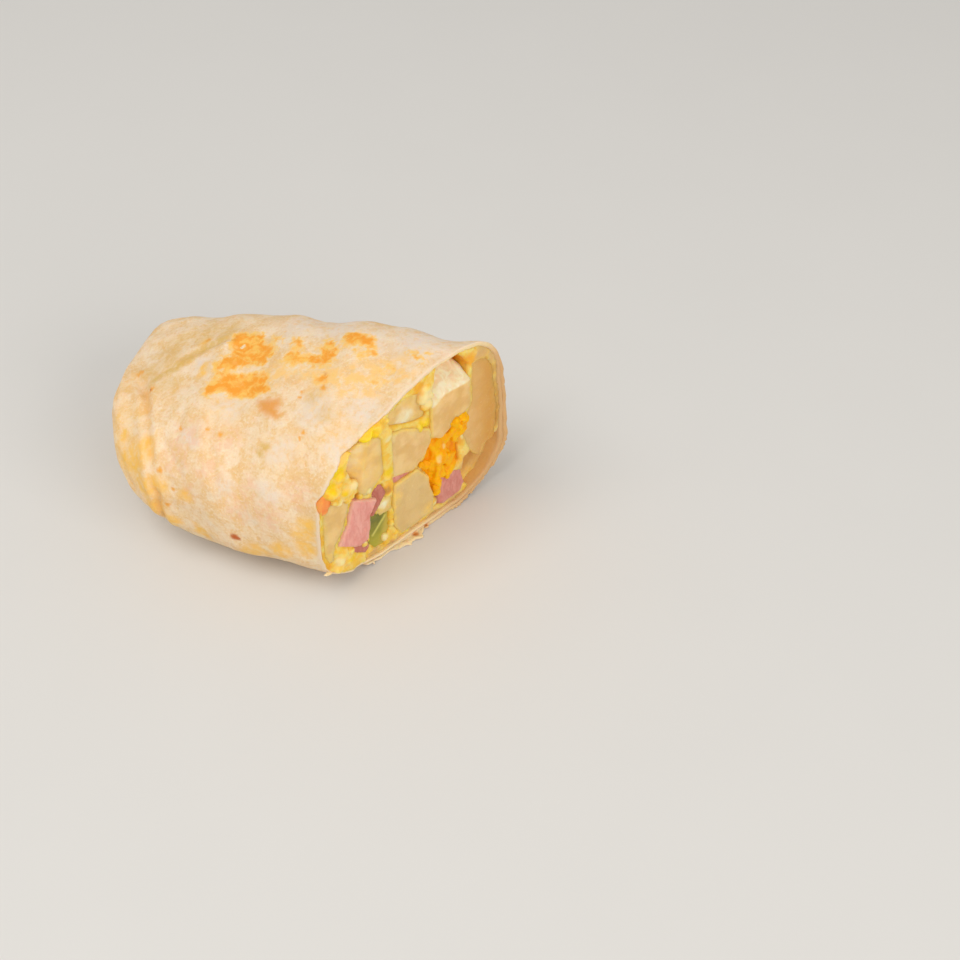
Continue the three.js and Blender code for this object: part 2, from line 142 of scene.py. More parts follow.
def cell_value(cells, seed):
    """A repeatable number from -1 to 1 for each whole-numbered cell, by scattering its bits."""
    x, y, z = (cells[:, k].astype(np.uint32) for k in range(3))
    mixed = x * np.uint32(73856093) ^ y * np.uint32(19349663) ^ z * np.uint32(83492791)
    mixed = mixed ^ np.uint32(seed * 7919 + 17)
    for _ in range(2):
        mixed = (mixed ^ (mixed >> np.uint32(15))) * np.uint32(2246822519)
    mixed = mixed ^ (mixed >> np.uint32(13))
    return (mixed & np.uint32(0xFFFFFF)) / 0x7FFFFF - 1


def noise(points, size, seed=0):
    """Smooth noise from about -1 to 1 in lumps of that size."""
    scaled = points.reshape(-1, 3) / size
    cell = np.floor(scaled).astype(np.int64)
    share = smooth(scaled - cell)
    total = np.zeros(len(scaled))
    for corner in np.ndindex(2, 2, 2):
        weight = np.prod(np.where(np.array(corner), share, 1 - share), axis=1)
        total += weight * cell_value(cell + np.array(corner), seed)
    return total.reshape(points.shape[:-1])


def rough_noise(points, size, octaves, seed=0):
    """Noise with finer and finer lumps added."""
    return sum(noise(points, size / 2**k, seed + k) / 2**k for k in range(octaves))


def noise_sum(points, kinds, seed):
    """Noises added up, each given as its size and its height."""
    return sum(height * noise(points, size, seed + k) for k, (size, height) in enumerate(kinds))


def noise_vectors(points, size, seed):
    return np.stack([noise(points, size, seed + k) for k in range(3)], axis=-1)


def nearest_grain(points, size, seed):
    """Distance to the nearest of the grains scattered one to a cell, as a share of size."""
    scaled = points / size
    cell = np.floor(scaled).astype(np.int64)
    nearest = np.full(len(points), np.inf)
    for step in np.ndindex(3, 3, 3):
        near = cell + np.array(step) - 1
        grain = near + 0.5 + 0.5 * np.stack([cell_value(near, seed + k) for k in range(3)], axis=1)
        nearest = np.minimum(nearest, np.linalg.norm(scaled - grain, axis=1))
    return nearest


def nearest_on_edge(points, start, edge):
    """Distance from points to a straight edge."""
    share = np.clip((points - start) @ edge / (edge @ edge), 0, 1)[..., None]
    return np.linalg.norm(points - start - share * edge, axis=-1)


def line_distance(points, line):
    """Distance from points to a line of straight stretches."""
    line = np.array(line, float)
    stretches = zip(line[:-1], line[1:])
    return np.minimum.reduce([nearest_on_edge(points, start, end - start) for start, end in stretches])


def outline_distance(points, outline):
    """Distance from points of a plane to a closed outline, negative inside it."""
    corners = np.array(outline, float)
    nearest = line_distance(points, (*outline, outline[0]))
    x, y = points.T
    inside = np.zeros(len(points), bool)
    for start, end in zip(corners, np.roll(corners, -1, axis=0)):
        between = (start[1] > y) != (end[1] > y)
        run, rise = end - start
        inside ^= between & (x < start[0] + run * (y - start[1]) / (rise or 1))
    return np.where(inside, -nearest, nearest)


SPOT_REACH = 2.5  # how far relief may have moved the surface under a spot


def spots(points, places, border, normals=None):
    """1 inside round spots given as places and a radius, falling to 0 over a border.

    With normals, a spot also reaches a surface that relief has moved towards or away from it.
    """
    shown = np.zeros(len(points))
    for *place, radius in places:
        offset = points - np.array(place)
        distance = np.linalg.norm(offset, axis=1)
        if normals is not None:
            off_surface = np.clip(np.sum(offset * normals, axis=1), -SPOT_REACH, SPOT_REACH)
            distance = np.sqrt(np.maximum(distance**2 - off_surface**2, 0))
        shown = np.maximum(shown, smooth((radius - distance) / (border * radius) + 0.5))
    return shown


# ---------------------------------------------------------------- meshes
WELD = 0.001  # vertices this close are joined
PAIR_ROUNDS = 3


def linked(name, data):
    """A new object in the scene."""
    made = bpy.data.objects.new(name, data)
    bpy.context.scene.collection.objects.link(made)
    return made


def object_from(name, points, faces):
    """A new object from points in millimetres and lists of their numbers."""
    mesh = bpy.data.meshes.new(name)
    mesh.from_pydata((np.asarray(points) * MM).tolist(), [], [list(face) for face in faces])
    return linked(name, mesh)


def edited(piece, change):
    """Lets a function change a piece's mesh as a bmesh."""
    shape = bmesh.new()
    shape.from_mesh(piece.data)
    change(shape)
    shape.to_mesh(piece.data)
    shape.free()
    return piece


def faced_outwards(piece):
    return edited(piece, lambda shape: bmesh.ops.recalc_face_normals(shape, faces=shape.faces))


def copy_of(node, name):
    """A copy of a node's solid, to be dressed."""

    def weld(shape):
        bmesh.ops.remove_doubles(shape, verts=shape.verts, dist=WELD * MM)

    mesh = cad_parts[node].data.copy()
    mesh.materials.clear()
    return edited(linked(name, mesh), weld)


def applied(piece):
    """Turns a piece's modifiers into mesh."""
    shaped = piece.evaluated_get(bpy.context.evaluated_depsgraph_get())
    mesh = bpy.data.meshes.new_from_object(shaped)
    old = piece.data
    piece.modifiers.clear()
    piece.data = mesh
    bpy.data.meshes.remove(old)
    return piece


def remeshed(piece, voxel):
    remesh = piece.modifiers.new("remesh", "REMESH")
    remesh.mode = "VOXEL"
    remesh.voxel_size = voxel * MM
    return applied(piece)


def combined(piece, other, operation):
    """Joins piece with another closed mesh, or cuts it by that mesh, which is used up."""
    boolean = piece.modifiers.new("boolean", "BOOLEAN")
    boolean.operation = operation
    boolean.solver = "MANIFOLD"
    boolean.object = other
    applied(piece)
    bpy.data.objects.remove(other)
    return piece


def gathered(pieces, name):
    """One object from several closed meshes, which still overlap."""
    points, faces, start = [], [], 0
    for piece in pieces:
        points.append(points_of(piece))
        faces += [[start + i for i in face.vertices] for face in piece.data.polygons]
        start += len(piece.data.vertices)
        bpy.data.objects.remove(piece)
    return object_from(name, np.concatenate(points), faces)


def values_of(items, field, width, kind=float):
    """A field of all vertices or edges, in rows of that many numbers."""
    flat = np.empty(len(items) * width, kind)
    items.foreach_get(field, flat)
    return flat.reshape(-1, width)


def points_of(piece):
    return values_of(piece.data.vertices, "co", 3) / MM


def normals_of(piece):
    return values_of(piece.data.vertex_normals, "vector", 3)


def edges_of(piece):
    return values_of(piece.data.edges, "vertices", 2, int)


def place_points(piece, points):
    piece.data.vertices.foreach_set("co", (points * MM).ravel())
    piece.data.update()
    return piece


def smoothed(piece, rounds):
    """Evens a mesh out, each vertex halfway to the middle of its neighbours."""
    points, edges = points_of(piece), edges_of(piece)
    first, second = edges.T
    count = np.bincount(edges.ravel(), minlength=len(points))[:, None]
    for _ in range(rounds):
        total = np.zeros_like(points)
        np.add.at(total, first, points[second])
        np.add.at(total, second, points[first])
        points = mix(points, total / count, 0.5)
    return place_points(piece, points)


def main_body(piece):
    """Keeps a piece's largest body, without the specks that remeshing and cutting leave."""
    first, second = edges_of(piece).T
    body = np.arange(len(piece.data.vertices))
    spreading = True
    while spreading:
        before = body.copy()
        lower = np.minimum(body[first], body[second])
        np.minimum.at(body, first, lower)
        np.minimum.at(body, second, lower)
        body = body[body]
        spreading = not np.array_equal(body, before)
    specks = np.flatnonzero(body != np.bincount(body).argmax()).tolist()

    def clean(shape):
        shape.verts.ensure_lookup_table()
        bmesh.ops.delete(shape, geom=[shape.verts[i] for i in specks], context="VERTS")
        # Faces beside a vertex that has only two edges could lie on each other.
        for _ in range(PAIR_ROUNDS):
            pairs = [vertex for vertex in shape.verts if len(vertex.link_edges) == 2]
            bmesh.ops.dissolve_verts(shape, verts=pairs)

    return edited(piece, clean)


def mark(piece, **marks):
    """Stores numbers for each vertex, which the materials read by their names."""
    for name, values in marks.items():
        attribute = piece.data.attributes.new(name, "FLOAT", "POINT")
        attribute.data.foreach_set("value", np.asarray(values, np.float32))


def quads(ids):
    """Four-sided faces over a grid of vertex numbers."""
    corners = (ids[:-1, :-1], ids[:-1, 1:], ids[1:, 1:], ids[1:, :-1])
    return np.stack([corner.ravel() for corner in corners], axis=1)


def tube_object(name, rings, first_pole, last_pole):
    """A closed body from rings of points between two end points."""
    count, per_ring = rings.shape[:2]
    points = np.concatenate([rings.reshape(-1, 3), [first_pole, last_pole]])
    ids = np.arange(count * per_ring).reshape(count, per_ring)
    ids = np.concatenate([ids, ids[:, :1]], axis=1)
    first, last = count * per_ring, count * per_ring + 1
    faces = quads(ids).tolist()
    faces += [[a, b, first] for a, b in zip(ids[0, 1:].tolist(), ids[0, :-1].tolist())]
    faces += [[a, b, last] for a, b in zip(ids[-1, :-1].tolist(), ids[-1, 1:].tolist())]
    return object_from(name, points, faces)


def block(name, points):
    """A block from the corners of one end face, followed by those of the other."""
    count = len(points) // 2
    sides = [[k, (k + 1) % count, (k + 1) % count + count, k + count] for k in range(count)]
    faces = [range(count), range(count, 2 * count), *sides]
    return faced_outwards(object_from(name, points, faces))


def prism(outline, n_range):
    """A block whose outline is given as [u, v] corners."""
    u, v = np.array(outline * 2, float).T
    return block("prism", from_cut(u, v, np.repeat(n_range, len(outline)).astype(float)))


def hull(corners):
    """The smallest body round [u, v, n] corners."""
    shape = bmesh.new()
    for corner in from_cut(*np.array(corners, float).T):
        shape.verts.new((corner * MM).tolist())
    bmesh.ops.convex_hull(shape, input=shape.verts)
    mesh = bpy.data.meshes.new("hull")
    shape.to_mesh(mesh)
    shape.free()
    return faced_outwards(linked("hull", mesh))


def lump(u, v, n, radius, random, uneven=0.22):
    """A small uneven ball, as [u, v, n] and a radius."""
    shape = bmesh.new()
    bmesh.ops.create_icosphere(shape, subdivisions=2, radius=1)
    ball = np.array([vertex.co for vertex in shape.verts])
    faces = [[vertex.index for vertex in face.verts] for face in shape.faces]
    shape.free()
    ball *= 1 + uneven * noise(ball + random.uniform(0, 50, 3), 0.7, 5)[:, None]
    ball *= radius * random.uniform(0.75, 1.25, 3)
    return object_from("lump", ball + from_cut(*np.array([u, v, n], float)), faces)


def shifted(piece, move):
    return place_points(piece, points_of(piece) + move)


# ---------------------------------------------------------------- form of the roll
# Relief finer than the frame's, as sizes and heights.
SOFT_RELIEF = ((8.0, 0.30), (3.6, 0.16), (1.7, 0.07))
GATHERS = Sizes(count=17, height=0.22, at=6, reach=9)
# Creases of the folded end, each a line of points, how deep it is, and how high the fold beside
# it stands.
CREASES = (
    (
        (
            (-45, -3, 38), (-36.9, -10.1, 37.8), (-30.5, -20.5, 36.5), (-26.1, -28.1, 32.9),
            (-23.0, -32.6, 25), (-22.6, -33.5, 14),
        ),
        0.75, 0.55,
    ),
    (((-47, -8, 33), (-41, -18, 30), (-35.5, -26, 26), (-31, -30.6, 19)), 0.45, 0.35),
    (((-43, 4, 40), (-34, 2, 43.5), (-25.5, 6.5, 45), (-19, 11, 47.5)), 0.4, 0.3),
    (((-11.5, -17, 44), (-10.1, -21.4, 42.4), (-5.6, -29.1, 37.4), (-3.8, -31.3, 34.3)), 0.3, 0.15),
    (((-25.4, -22.9, 37.6), (-18.6, -28.0, 35.8), (-15.5, -30.6, 33.4)), 0.25, 0.15),
    (((-21.6, -16, 42), (-21.1, -17.9, 41.3), (-19.4, -22.2, 39.9)), 0.25, 0.1),
)
# How far the creases wander, how wide they are, and where beside them the fold is and how wide.
CREASE = Sizes(wander=0.5, wander_size=3, reach=1.1, fold_at=2.4, fold_reach=1.6)
CORNER = Sizes(place=(-47.3, -11.4, 31.7), height=1.1, reach=3.6)  # the folded end's pointed corner


def tuck_relief(x, y):
    past_edge = x - TUCK.at_middle - TUCK.slope * (TUCK.middle - y)
    step = TUCK.step * (1 - smooth((past_edge + 1) / 2))
    on_near_side = smooth((-y - 1) / 8)
    return on_near_side * (step - TUCK.crease * bell(past_edge / TUCK.crease_reach))


def end_folds(points):
    """Relief of the folded end."""
    bent = points + CREASE.wander * noise_vectors(points, CREASE.wander_size, 50)
    from_corner = np.linalg.norm(points - np.array(CORNER.place), axis=-1)
    total = CORNER.height * bell(from_corner / CORNER.reach)
    for line, depth, height in CREASES:
        away = line_distance(bent, line)
        fold = height * bell((away - CREASE.fold_at) / CREASE.fold_reach)
        total = total + fold - depth * bell(away / CREASE.reach)
    return total


def fine_relief(x, angle, y, z):
    lumps = noise_sum(stacked(x, y, z), SOFT_RELIEF, 40)
    wave = np.sin(GATHERS.count * angle + 0.3 * x)
    gathers = GATHERS.height * wave * bell((x - GATHERS.at) / GATHERS.reach)
    folds = end_folds(stacked(x - ROLL.origin_x, y, z))
    return smooth((z - 0.5) / 6) * (lumps + (gathers + folds) * smooth(x / 3))


def relief(x, angle, y, z):
    """How far the surface stands out of the plain cross-section."""
    open_side = smooth(0.9 + np.sin(angle))
    lumps = RELIEF.lumps * np.sin(0.17 * x + 2 * np.cos(angle)) * np.sin(2 * angle + 0.7)
    ripples = RELIEF.ripples * np.sin(0.33 * x - 3 * angle + 1)
    pleat = np.sin(RELIEF.pleat_count * angle + 0.3)
    pleats = RELIEF.pleats * pleat * bell((x - RELIEF.pleats_at) / RELIEF.pleat_reach)
    tuck = smooth(x / 12) * tuck_relief(x, y)
    broad = smooth(x / 20) * (lumps + ripples) + pleats + tuck
    return open_side * broad + fine_relief(x, angle, y, z)


def section(x, angle):
    """The cross-section at x, before relief."""
    along = x / ROLL.length
    width_growth = growth(x, GROWTH.width)
    crown_growth = growth(x, GROWTH.crown)
    underside_growth = growth(x, GROWTH.underside)
    half_width = mix(ROLL.half_width_at_end, ROLL.half_width_at_cut, along) * width_growth
    crown = mix(ROLL.fold_height, mix(ROLL.crown_at_end, ROLL.crown_at_cut, along), crown_growth)
    waist = mix(ROLL.fold_height, ROLL.waist, underside_growth)
    underside = ROLL.fold_height * (1 - underside_growth)
    across = half_width * signed_power(np.cos(angle), 2 / SECTION.side)
    up = np.sin(angle)
    above = (crown - waist) * np.maximum(up, 0) ** (2 / SECTION.crown)
    above = above + ROLL.far_side_rise * across * up * crown_growth
    below = -(waist - underside) * np.maximum(-up, 0) ** (2 / SECTION.underside)
    y = across + ROLL.fold_shift * (1 - width_growth)
    return y, waist + np.where(up >= 0, above, below) - ROLL.settle


def wall(x, angle, depth):
    """The outer surface with relief, moved inwards by depth."""
    step = 0.02
    y, z = section(x, angle)
    y_before, z_before = section(x, angle - step)
    y_after, z_after = section(x, angle + step)
    step_y, step_z = y_after - y_before, z_after - z_before
    step_length = np.maximum(np.hypot(step_y, step_z), 1e-9)
    out_y, out_z = step_z / step_length, -step_y / step_length
    raised = relief(x, angle, y, z)
    z = z + raised * out_z
    return y + (raised - depth) * out_y, np.where(z <= 0, depth, z - depth * out_z)


def section_centre(x):
    left, right = section(x, np.pi), section(x, 0.0)
    top, bottom = section(x, np.pi / 2), section(x, -np.pi / 2)
    return (left[0] + right[0]) / 2, (top[1] + bottom[1]) / 2


def roll_points(share, angle, depth, past=0.0, shrink=None):
    """Points at a share of the way from the fold (0) to the cut (1)."""
    x = share * ROLL.length + 0 * angle
    for _ in range(4):
        y, z = wall(x, angle, depth(x, angle))
        x = share * (ROLL.length + CUT_SLOPE * y + past)
    if shrink:
        centre_y, centre_z = section_centre(x)
        y, z = mix(centre_y, y, shrink(x)), mix(centre_z, z, shrink(x))
    return np.stack([x - ROLL.origin_x, y, z], axis=-1)


def flap_edge(x):
    return FLAP.edge + FLAP.edge_wave * np.sin(x / 15)


def doubled(x, angle):
    """0 where the wrap is single, 1 where the flap lies outside the shell."""
    above_edge = (angle - flap_edge(x)) % TAU
    to_root = FLAP.root - flap_edge(x) - above_edge
    beside_edge = TAU - above_edge - FLAP.beside_edge
    under_flap = smooth(to_root / FLAP.root_blend)
    past_edge = smooth(1 - beside_edge / FLAP.edge_blend)
    round_it = np.where(to_root > -np.pi / 2, under_flap, past_edge)
    return round_it * smooth((x - FLAP.start) / FLAP.start_blend)


def shell_outer(x, angle):
    return (SHEET + FLAP.slit) * doubled(x, angle)


def hollow(x):
    return growth(x - CAVITY.start, (CAVITY.blend, 2))


def even_angles(count, start, end):
    """Angles that divide the outline of the roll evenly."""
    fine = np.linspace(start, end, 6000)
    y, z = section(0.7 * ROLL.length, fine)
    length = np.concatenate([[0], np.cumsum(np.hypot(np.diff(y), np.diff(z)))])
    return np.interp(np.linspace(0, length[-1], count), length, fine)


# ---------------------------------------------------------------- tortilla
GRID = Sizes(around=330, along=135, inside=40, flap_round=120, flap_along=110)
EDGE_ROWS = (0.0, 0.04, 0.12, 0.3, 0.7, 1.2)  # how far from the cut the last rows lie
EDGE_ROUNDING = 0.3
RAGGED = ((7.0, 0.35), (2.2, 0.26), (0.8, 0.34))  # sizes and heights of the cut edge's waves
RING = 30  # a radius that turns angles round the sheet into lengths
# Where the edge is torn back, as [middle, reach, depth]: over the orange piece, and over the
# upper potato.
NOTCHES = ((153.5 * DEG, 5 * DEG, 1.7), (123.5 * DEG, 5.5 * DEG, 1.6), (112 * DEG, 8.5 * DEG, 1.2))
# Shares of the thickness lost at the cut, and how far back, as a share of the length.
THIN_EDGE = Sizes(near=0.5, torn=0.08, reach=0.09)
FLAP_TUCK = 9 * DEG  # the flap's root runs this far into the shell
FLAP_SINK = 0.75  # and sinks this far below its surface
FREE_EDGE = 0.9  # the free edge is rounded off over this length


def edge_shares(count, first):
    """Shares along the roll that come close together at the cut."""
    plain = mix(first, 1, (np.arange(count) / count) ** 0.9)
    plain = plain[plain < 1 - 1.8 / ROLL.length]
    return np.concatenate([plain, 1 - np.array(EDGE_ROWS[::-1]) / ROLL.length])[:, None]


def rounding(share):
    """How full the sheet is, which falls to nothing at its cut edge."""
    return rounded_off((1 - share) * ROLL.length / EDGE_ROUNDING)


def ragged(share, angle):
    """How far the cut edge stands past the cut. It wanders most at the lower right."""
    wander = noise_sum(stacked(RING * np.cos(angle), RING * np.sin(angle), 0), RAGGED, 61)
    lower_right = smooth(0.6 - np.sin(angle)) * smooth(0.9 + np.cos(angle))
    torn_back = sum(depth * bell((angle - middle) / reach) for middle, reach, depth in NOTCHES)
    at_cut = smooth((share - 0.95) / 0.05)
    return (mix(0.45, 1, lower_right) * wander - 0.1 - torn_back) * at_cut


def shell_ragged(share, angle):
    """The same for the shell, which is torn less where the flap covers it."""
    return ragged(share, angle) * (1 - 0.75 * doubled(share * ROLL.length, angle))


def thickness(share, angle):
    """The sheet's thickness. It is thinner at the cut, and most of all on the near side."""
    ring = stacked(RING * np.cos(angle), RING * np.sin(angle), 40 * share)
    near_side = smooth(0.35 - 0.9 * np.cos(angle))
    lost = THIN_EDGE.near * near_side + THIN_EDGE.torn * (1 + noise(ring, 1.7, 65))
    return SHEET * (1 - lost * smooth((share - 1 + THIN_EDGE.reach) / THIN_EDGE.reach))


def shell_face(angle, along, first, side, shrink=None):
    """The shell's outer face (side -1) or inner face (1), which meet at its rounded cut edge."""
    share = edge_shares(along, first)

    def depth(x, angle):
        return shell_outer(x, angle) + thickness(share, angle) * (1 + side * rounding(share)) / 2

    return roll_points(share, angle, depth, shell_ragged(share, angle), shrink)


def shell_mesh():
    angle = even_angles(GRID.around + 1, FLAP.edge, FLAP.edge + TAU)[None, :-1]
    outer = shell_face(angle, GRID.along, 0.004, -1)
    inner = shell_face(angle, GRID.inside, (CAVITY.start + 0.6) / ROLL.length, 1, hollow)
    fold = np.array([-ROLL.origin_x, ROLL.fold_shift, ROLL.fold_height - ROLL.settle])
    cavity_y, cavity_z = section_centre(float(CAVITY.start))
    cavity_end = np.array([CAVITY.start - ROLL.origin_x, cavity_y, cavity_z])
    return tube_object("shell", np.concatenate([outer, inner[-2::-1]]), fold, cavity_end)


def flap_mesh():
    share = edge_shares(GRID.flap_along, (FLAP.start - 5) / ROLL.length)
    round_it = FLAP.root + FLAP_TUCK - FLAP.edge
    base = even_angles(GRID.flap_round, FLAP.edge, FLAP.root + FLAP_TUCK)[None, :]
    x = share * ROLL.length
    angle = base + (flap_edge(x) - FLAP.edge) * (1 - (base - FLAP.edge) / round_it)
    edge_rounding = rounded_off((angle - flap_edge(x)) * RING / FREE_EDGE)
    root_fade = smooth((FLAP.root + FLAP_TUCK - angle) / (3 * DEG))
    start_fade = smooth((x - x[0]) / 1.5)
    sink = FLAP_SINK * (smooth((angle - FLAP.root) / FLAP_TUCK) + smooth((FLAP.start - x) / 5))
    thin = mix(0.55, 1, doubled(x, angle))
    middle = thickness(share, angle) / 2 * thin + sink
    half = thickness(share, angle) / 2 * rounding(share) * edge_rounding
    half = half * thin * root_fade * start_fade
    past = ragged(share, angle)
    outer = roll_points(share, angle, lambda x, angle: middle - half, past)
    inner = roll_points(share, angle, lambda x, angle: middle + half, past)
    rows, columns = outer.shape[:2]
    outer_ids = np.arange(rows * columns).reshape(rows, columns)
    inner_ids = outer_ids.copy()
    inside = rows * columns + np.arange((rows - 2) * (columns - 2))
    inner_ids[1:-1, 1:-1] = inside.reshape(rows - 2, columns - 2)
    points = np.concatenate([outer.reshape(-1, 3), inner[1:-1, 1:-1].reshape(-1, 3)])
    faces = np.concatenate([quads(outer_ids), quads(inner_ids)[:, ::-1]])
    return object_from("flap", points, faces.tolist())


# Browned patches on the crown: how brown, how wide the border is, and their [x, y] corners.
TOASTED = (
    (
        1.0, 0.7,
        (
            (-18.5, 11.4), (-17.5, 13.1), (-10.2, 13.7), (-7.7, 9.6), (-4.2, 8.3), (-2.5, 5.7),
            (-4.7, 5.2), (-4.3, 1.9), (-10.4, 3.0), (-15.0, 4.1),
        ),
    ),
    (
        0.95, 0.7,
        (
            (-4.6, 2.8), (-10.8, 3.0), (-14.9, 3.9), (-17.5, 3.3), (-16.8, 1.2), (-19.5, -0.1),
            (-14.6, -1.6), (-11.1, 0.5), (-8.2, 1.8), (-4.4, 1.6),
        ),
    ),
    (
        0.95, 0.8,
        (
            (-16.1, -2.6), (-11.7, -2.4), (-8.0, -2.6), (-5.1, -1.0), (-1.4, -2.5), (1.4, -7.8),
            (-2.8, -9.2), (-10.5, -8.9), (-16.0, -10.7), (-17.9, -8.8), (-16.1, -5.9),
        ),
    ),
    (0.75, 0.9, ((1.4, 7.5), (1.5, 10.9), (4.4, 10.0), (4.1, 8.2), (2.8, 6.5))),
    (
        0.9, 1.0,
        (
            (10.5, 8.7), (11.6, 11.1), (13.4, 10.3), (15.6, 6.7), (16.0, 2.4), (13.9, 2.2),
            (10.3, 2.4), (8.4, 3.2), (6.4, 2.2), (2.1, 2.1), (1.3, 4.2), (4.5, 5.6), (7.4, 4.4),
            (9.8, 4.4), (11.7, 5.2),
        ),
    ),
    (0.6, 1.0, ((-6.1, 12.2), (-4.2, 12.1), (-2.7, 10.0), (-4.7, 9.7))),
    (
        0.9, 0.8,
        (
            (16.6, 10.9), (16.3, 14.7), (20.0, 14.7), (24.8, 13.7), (25.4, 11.1), (23.1, 10.2),
            (17.3, 9.8),
        ),
    ),
    (0.6, 1.0, ((20.7, 8.7), (22.2, 9.7), (26.9, 10.3), (28.1, 7.8), (22.2, 6.1))),
    (0.6, 0.8, ((31.0, 3.9), (31.7, 5.0), (34.5, 4.7), (33.7, 3.1))),
    (0.6, 0.8, ((36.6, 9.6), (38.4, 10.8), (40.7, 9.5), (40.9, 7.3), (38.3, 8.2))),
    (0.55, 0.6, ((40.2, 10.8), (42.3, 11.7), (42.3, 10.3), (40.8, 9.8))),
    (0.65, 0.8, ((14.0, -3.1), (15.0, -1.0), (17.9, -1.5), (17.7, -3.7), (15.8, -4.5))),
    (0.55, 1.0, ((28.1, -0.7), (29.3, 0.9), (32.9, 0.5), (33.5, -1.1), (29.7, -1.8))),
)
UNTOASTED = (-14.1, 8, 0.9)  # a pale hole in the largest patch, as [x, y, radius]
# A wide, faintly browned field round them, and a smudge.
FAINT_FIELD = (
    (-7.0, 1.6), (2.5, 1.2), (16.7, 2.0), (30.1, 6.3), (36.3, 7.6), (41.0, 2.4), (38.8, -1.3),
    (30.1, -7.2), (19.3, -7.2), (6.3, -2.5), (4.0, -6.2), (-4.9, -2.6),
)
SMUDGE = ((-0.3, -10.5), (6.8, -10.5), (9.6, -15.2), (7.0, -15.1), (2.0, -13.7))
# An olive streak on the folded end, as [x, y] points.
STREAK = Sizes(line=((-36.5, -6), (-31, 1), (-25.5, 6.5), (-21, 10.5)), half_width=2.4)
# All that follow are [x, y, z, radius]. First small browned spots, and darker ones.
FRECKLES = (
    (-43.7, -2.3, 36.4, 0.8), (-42.9, -1.6, 36.9, 0.7), (-35.1, -9.0, 39.1, 0.8),
    (-11.0, -20.8, 42.5, 0.65), (-6.8, -21.3, 42.5, 0.7), (-22.3, -30.2, 32.0, 0.8),
    (-17.5, -32.6, 28.3, 0.7), (-19.5, -33.6, 22.6, 0.6), (-19.5, -21.1, 40.4, 0.6),
    (17.7, -5.5, 54.0, 0.75), (12.0, -9.0, 51.8, 0.6), (12.0, -7.2, 52.3, 0.4),
    (17.4, -18.6, 49.0, 0.6), (16.9, -20.1, 48.0, 0.45), (3.0, 10.0, 53.4, 0.6),
    (-11.0, 11.0, 49.2, 0.4), (-26.8, 10.3, 44.6, 0.9),
)
DARK_SPOTS = (
    (1.2, -34.7, 18.1, 1.25), (1.9, -34.7, 17.8, 0.9), (16.2, -0.7, 54.7, 0.35),
    (-35.1, -9.0, 39.1, 0.3),
)
BROWNED_CRUMBS = ((41.2, -2.2, 0.9, 0.9), (43.1, 2.1, 1.0, 0.8))
# Where the filling shows through the sheet: strongly, weakly over the folded end, and faintly.
AMBER = (
    (-30.4, -27.8, 32.6, 4), (-31.2, -28.7, 30.4, 4.6), (-27, -31, 26, 4.4), (-24, -33, 20, 3.6),
    (-38.4, -22.8, 32.3, 3.0), (-35.7, -27.2, 28.2, 4), (-23.2, -32, 28.1, 3.2),
    (-20, -33.4, 16, 3), (-22.3, -1.5, 45, 1.8), (-21.5, -4.0, 44.8, 1.4), (-14, -33, 27.7, 2.4),
    (-28.1, -26.1, 34.9, 3.4), (-27, 9.8, 44.5, 1.6), (22.6, -32.8, 25.3, 3.2),
    (23.4, -32.4, 29, 2.6), (21.9, -33.1, 19.2, 3), (32, -31, 40, 2.4), (15, -34, 17, 3),
    (8.5, -34.2, 14, 3), (-10.4, -33.8, 14, 3), (5, -34.6, 12, 3), (36.6, -11.4, 54.4, 1.1),
    (37.6, -9.6, 55.2, 0.9), (35.4, -13.8, 53.6, 0.8),
)
AMBER_END = ((-38, -20, 31, 8), (-28, -31, 24, 6), (-44, -8, 32, 6))
AMBER_HAZE = ((-9.8, -15.2, 44.6, 6), (26.4, -16.5, 51.3, 6), (15.1, -22.9, 45.8, 5))
ROSY = (
    (-14, -22, 40, 4), (-5, -22, 41.5, 4), (-18, -28, 35, 4), (-7, -28, 36, 4), (2, -33, 29, 4),
    (12, -33, 30, 4), (-19, -23, 39, 3), (6, -31, 35, 3.4), (20, -29, 38, 4), (-12, -31, 30, 3),
)
# Olive patches: two strong ones, and weak ones.
OLIVE_STRONG = ((6.6, -24.0, 43.2, 1.7), (7.3, -22.2, 44.6, 1.7))
OLIVE_WEAK = (
    (16, -9, 52.5, 3), (21, -13, 52.4, 2.4), (-30, 13.3, 43, 5), (-30.4, -7, 41.3, 3.4),
    (-38, 9, 41, 5), (-22, 15, 46, 4), (-40, -2, 39, 4), (-36, 3, 41.6, 4),
)
# Where the flour has stayed palest.
PALE = (
    (18.1, -12.3, 52.1, 5), (37.1, 16.0, 59.5, 8), (12, 18, 54, 7), (-7.4, -13.9, 45.1, 4),
    (-15.1, -24.0, 40.2, 2.5), (30, -10, 55, 5), (12.3, -23.2, 45.2, 4), (0, 17, 51, 6),
    (24, 14, 57, 5), (28, -20, 50, 4), (-24, 0, 44.5, 2.4), (-12, -8, 46, 4), (6, -31, 27, 3),
    (12, -31, 36, 3), (-2, -30, 33, 3),
)


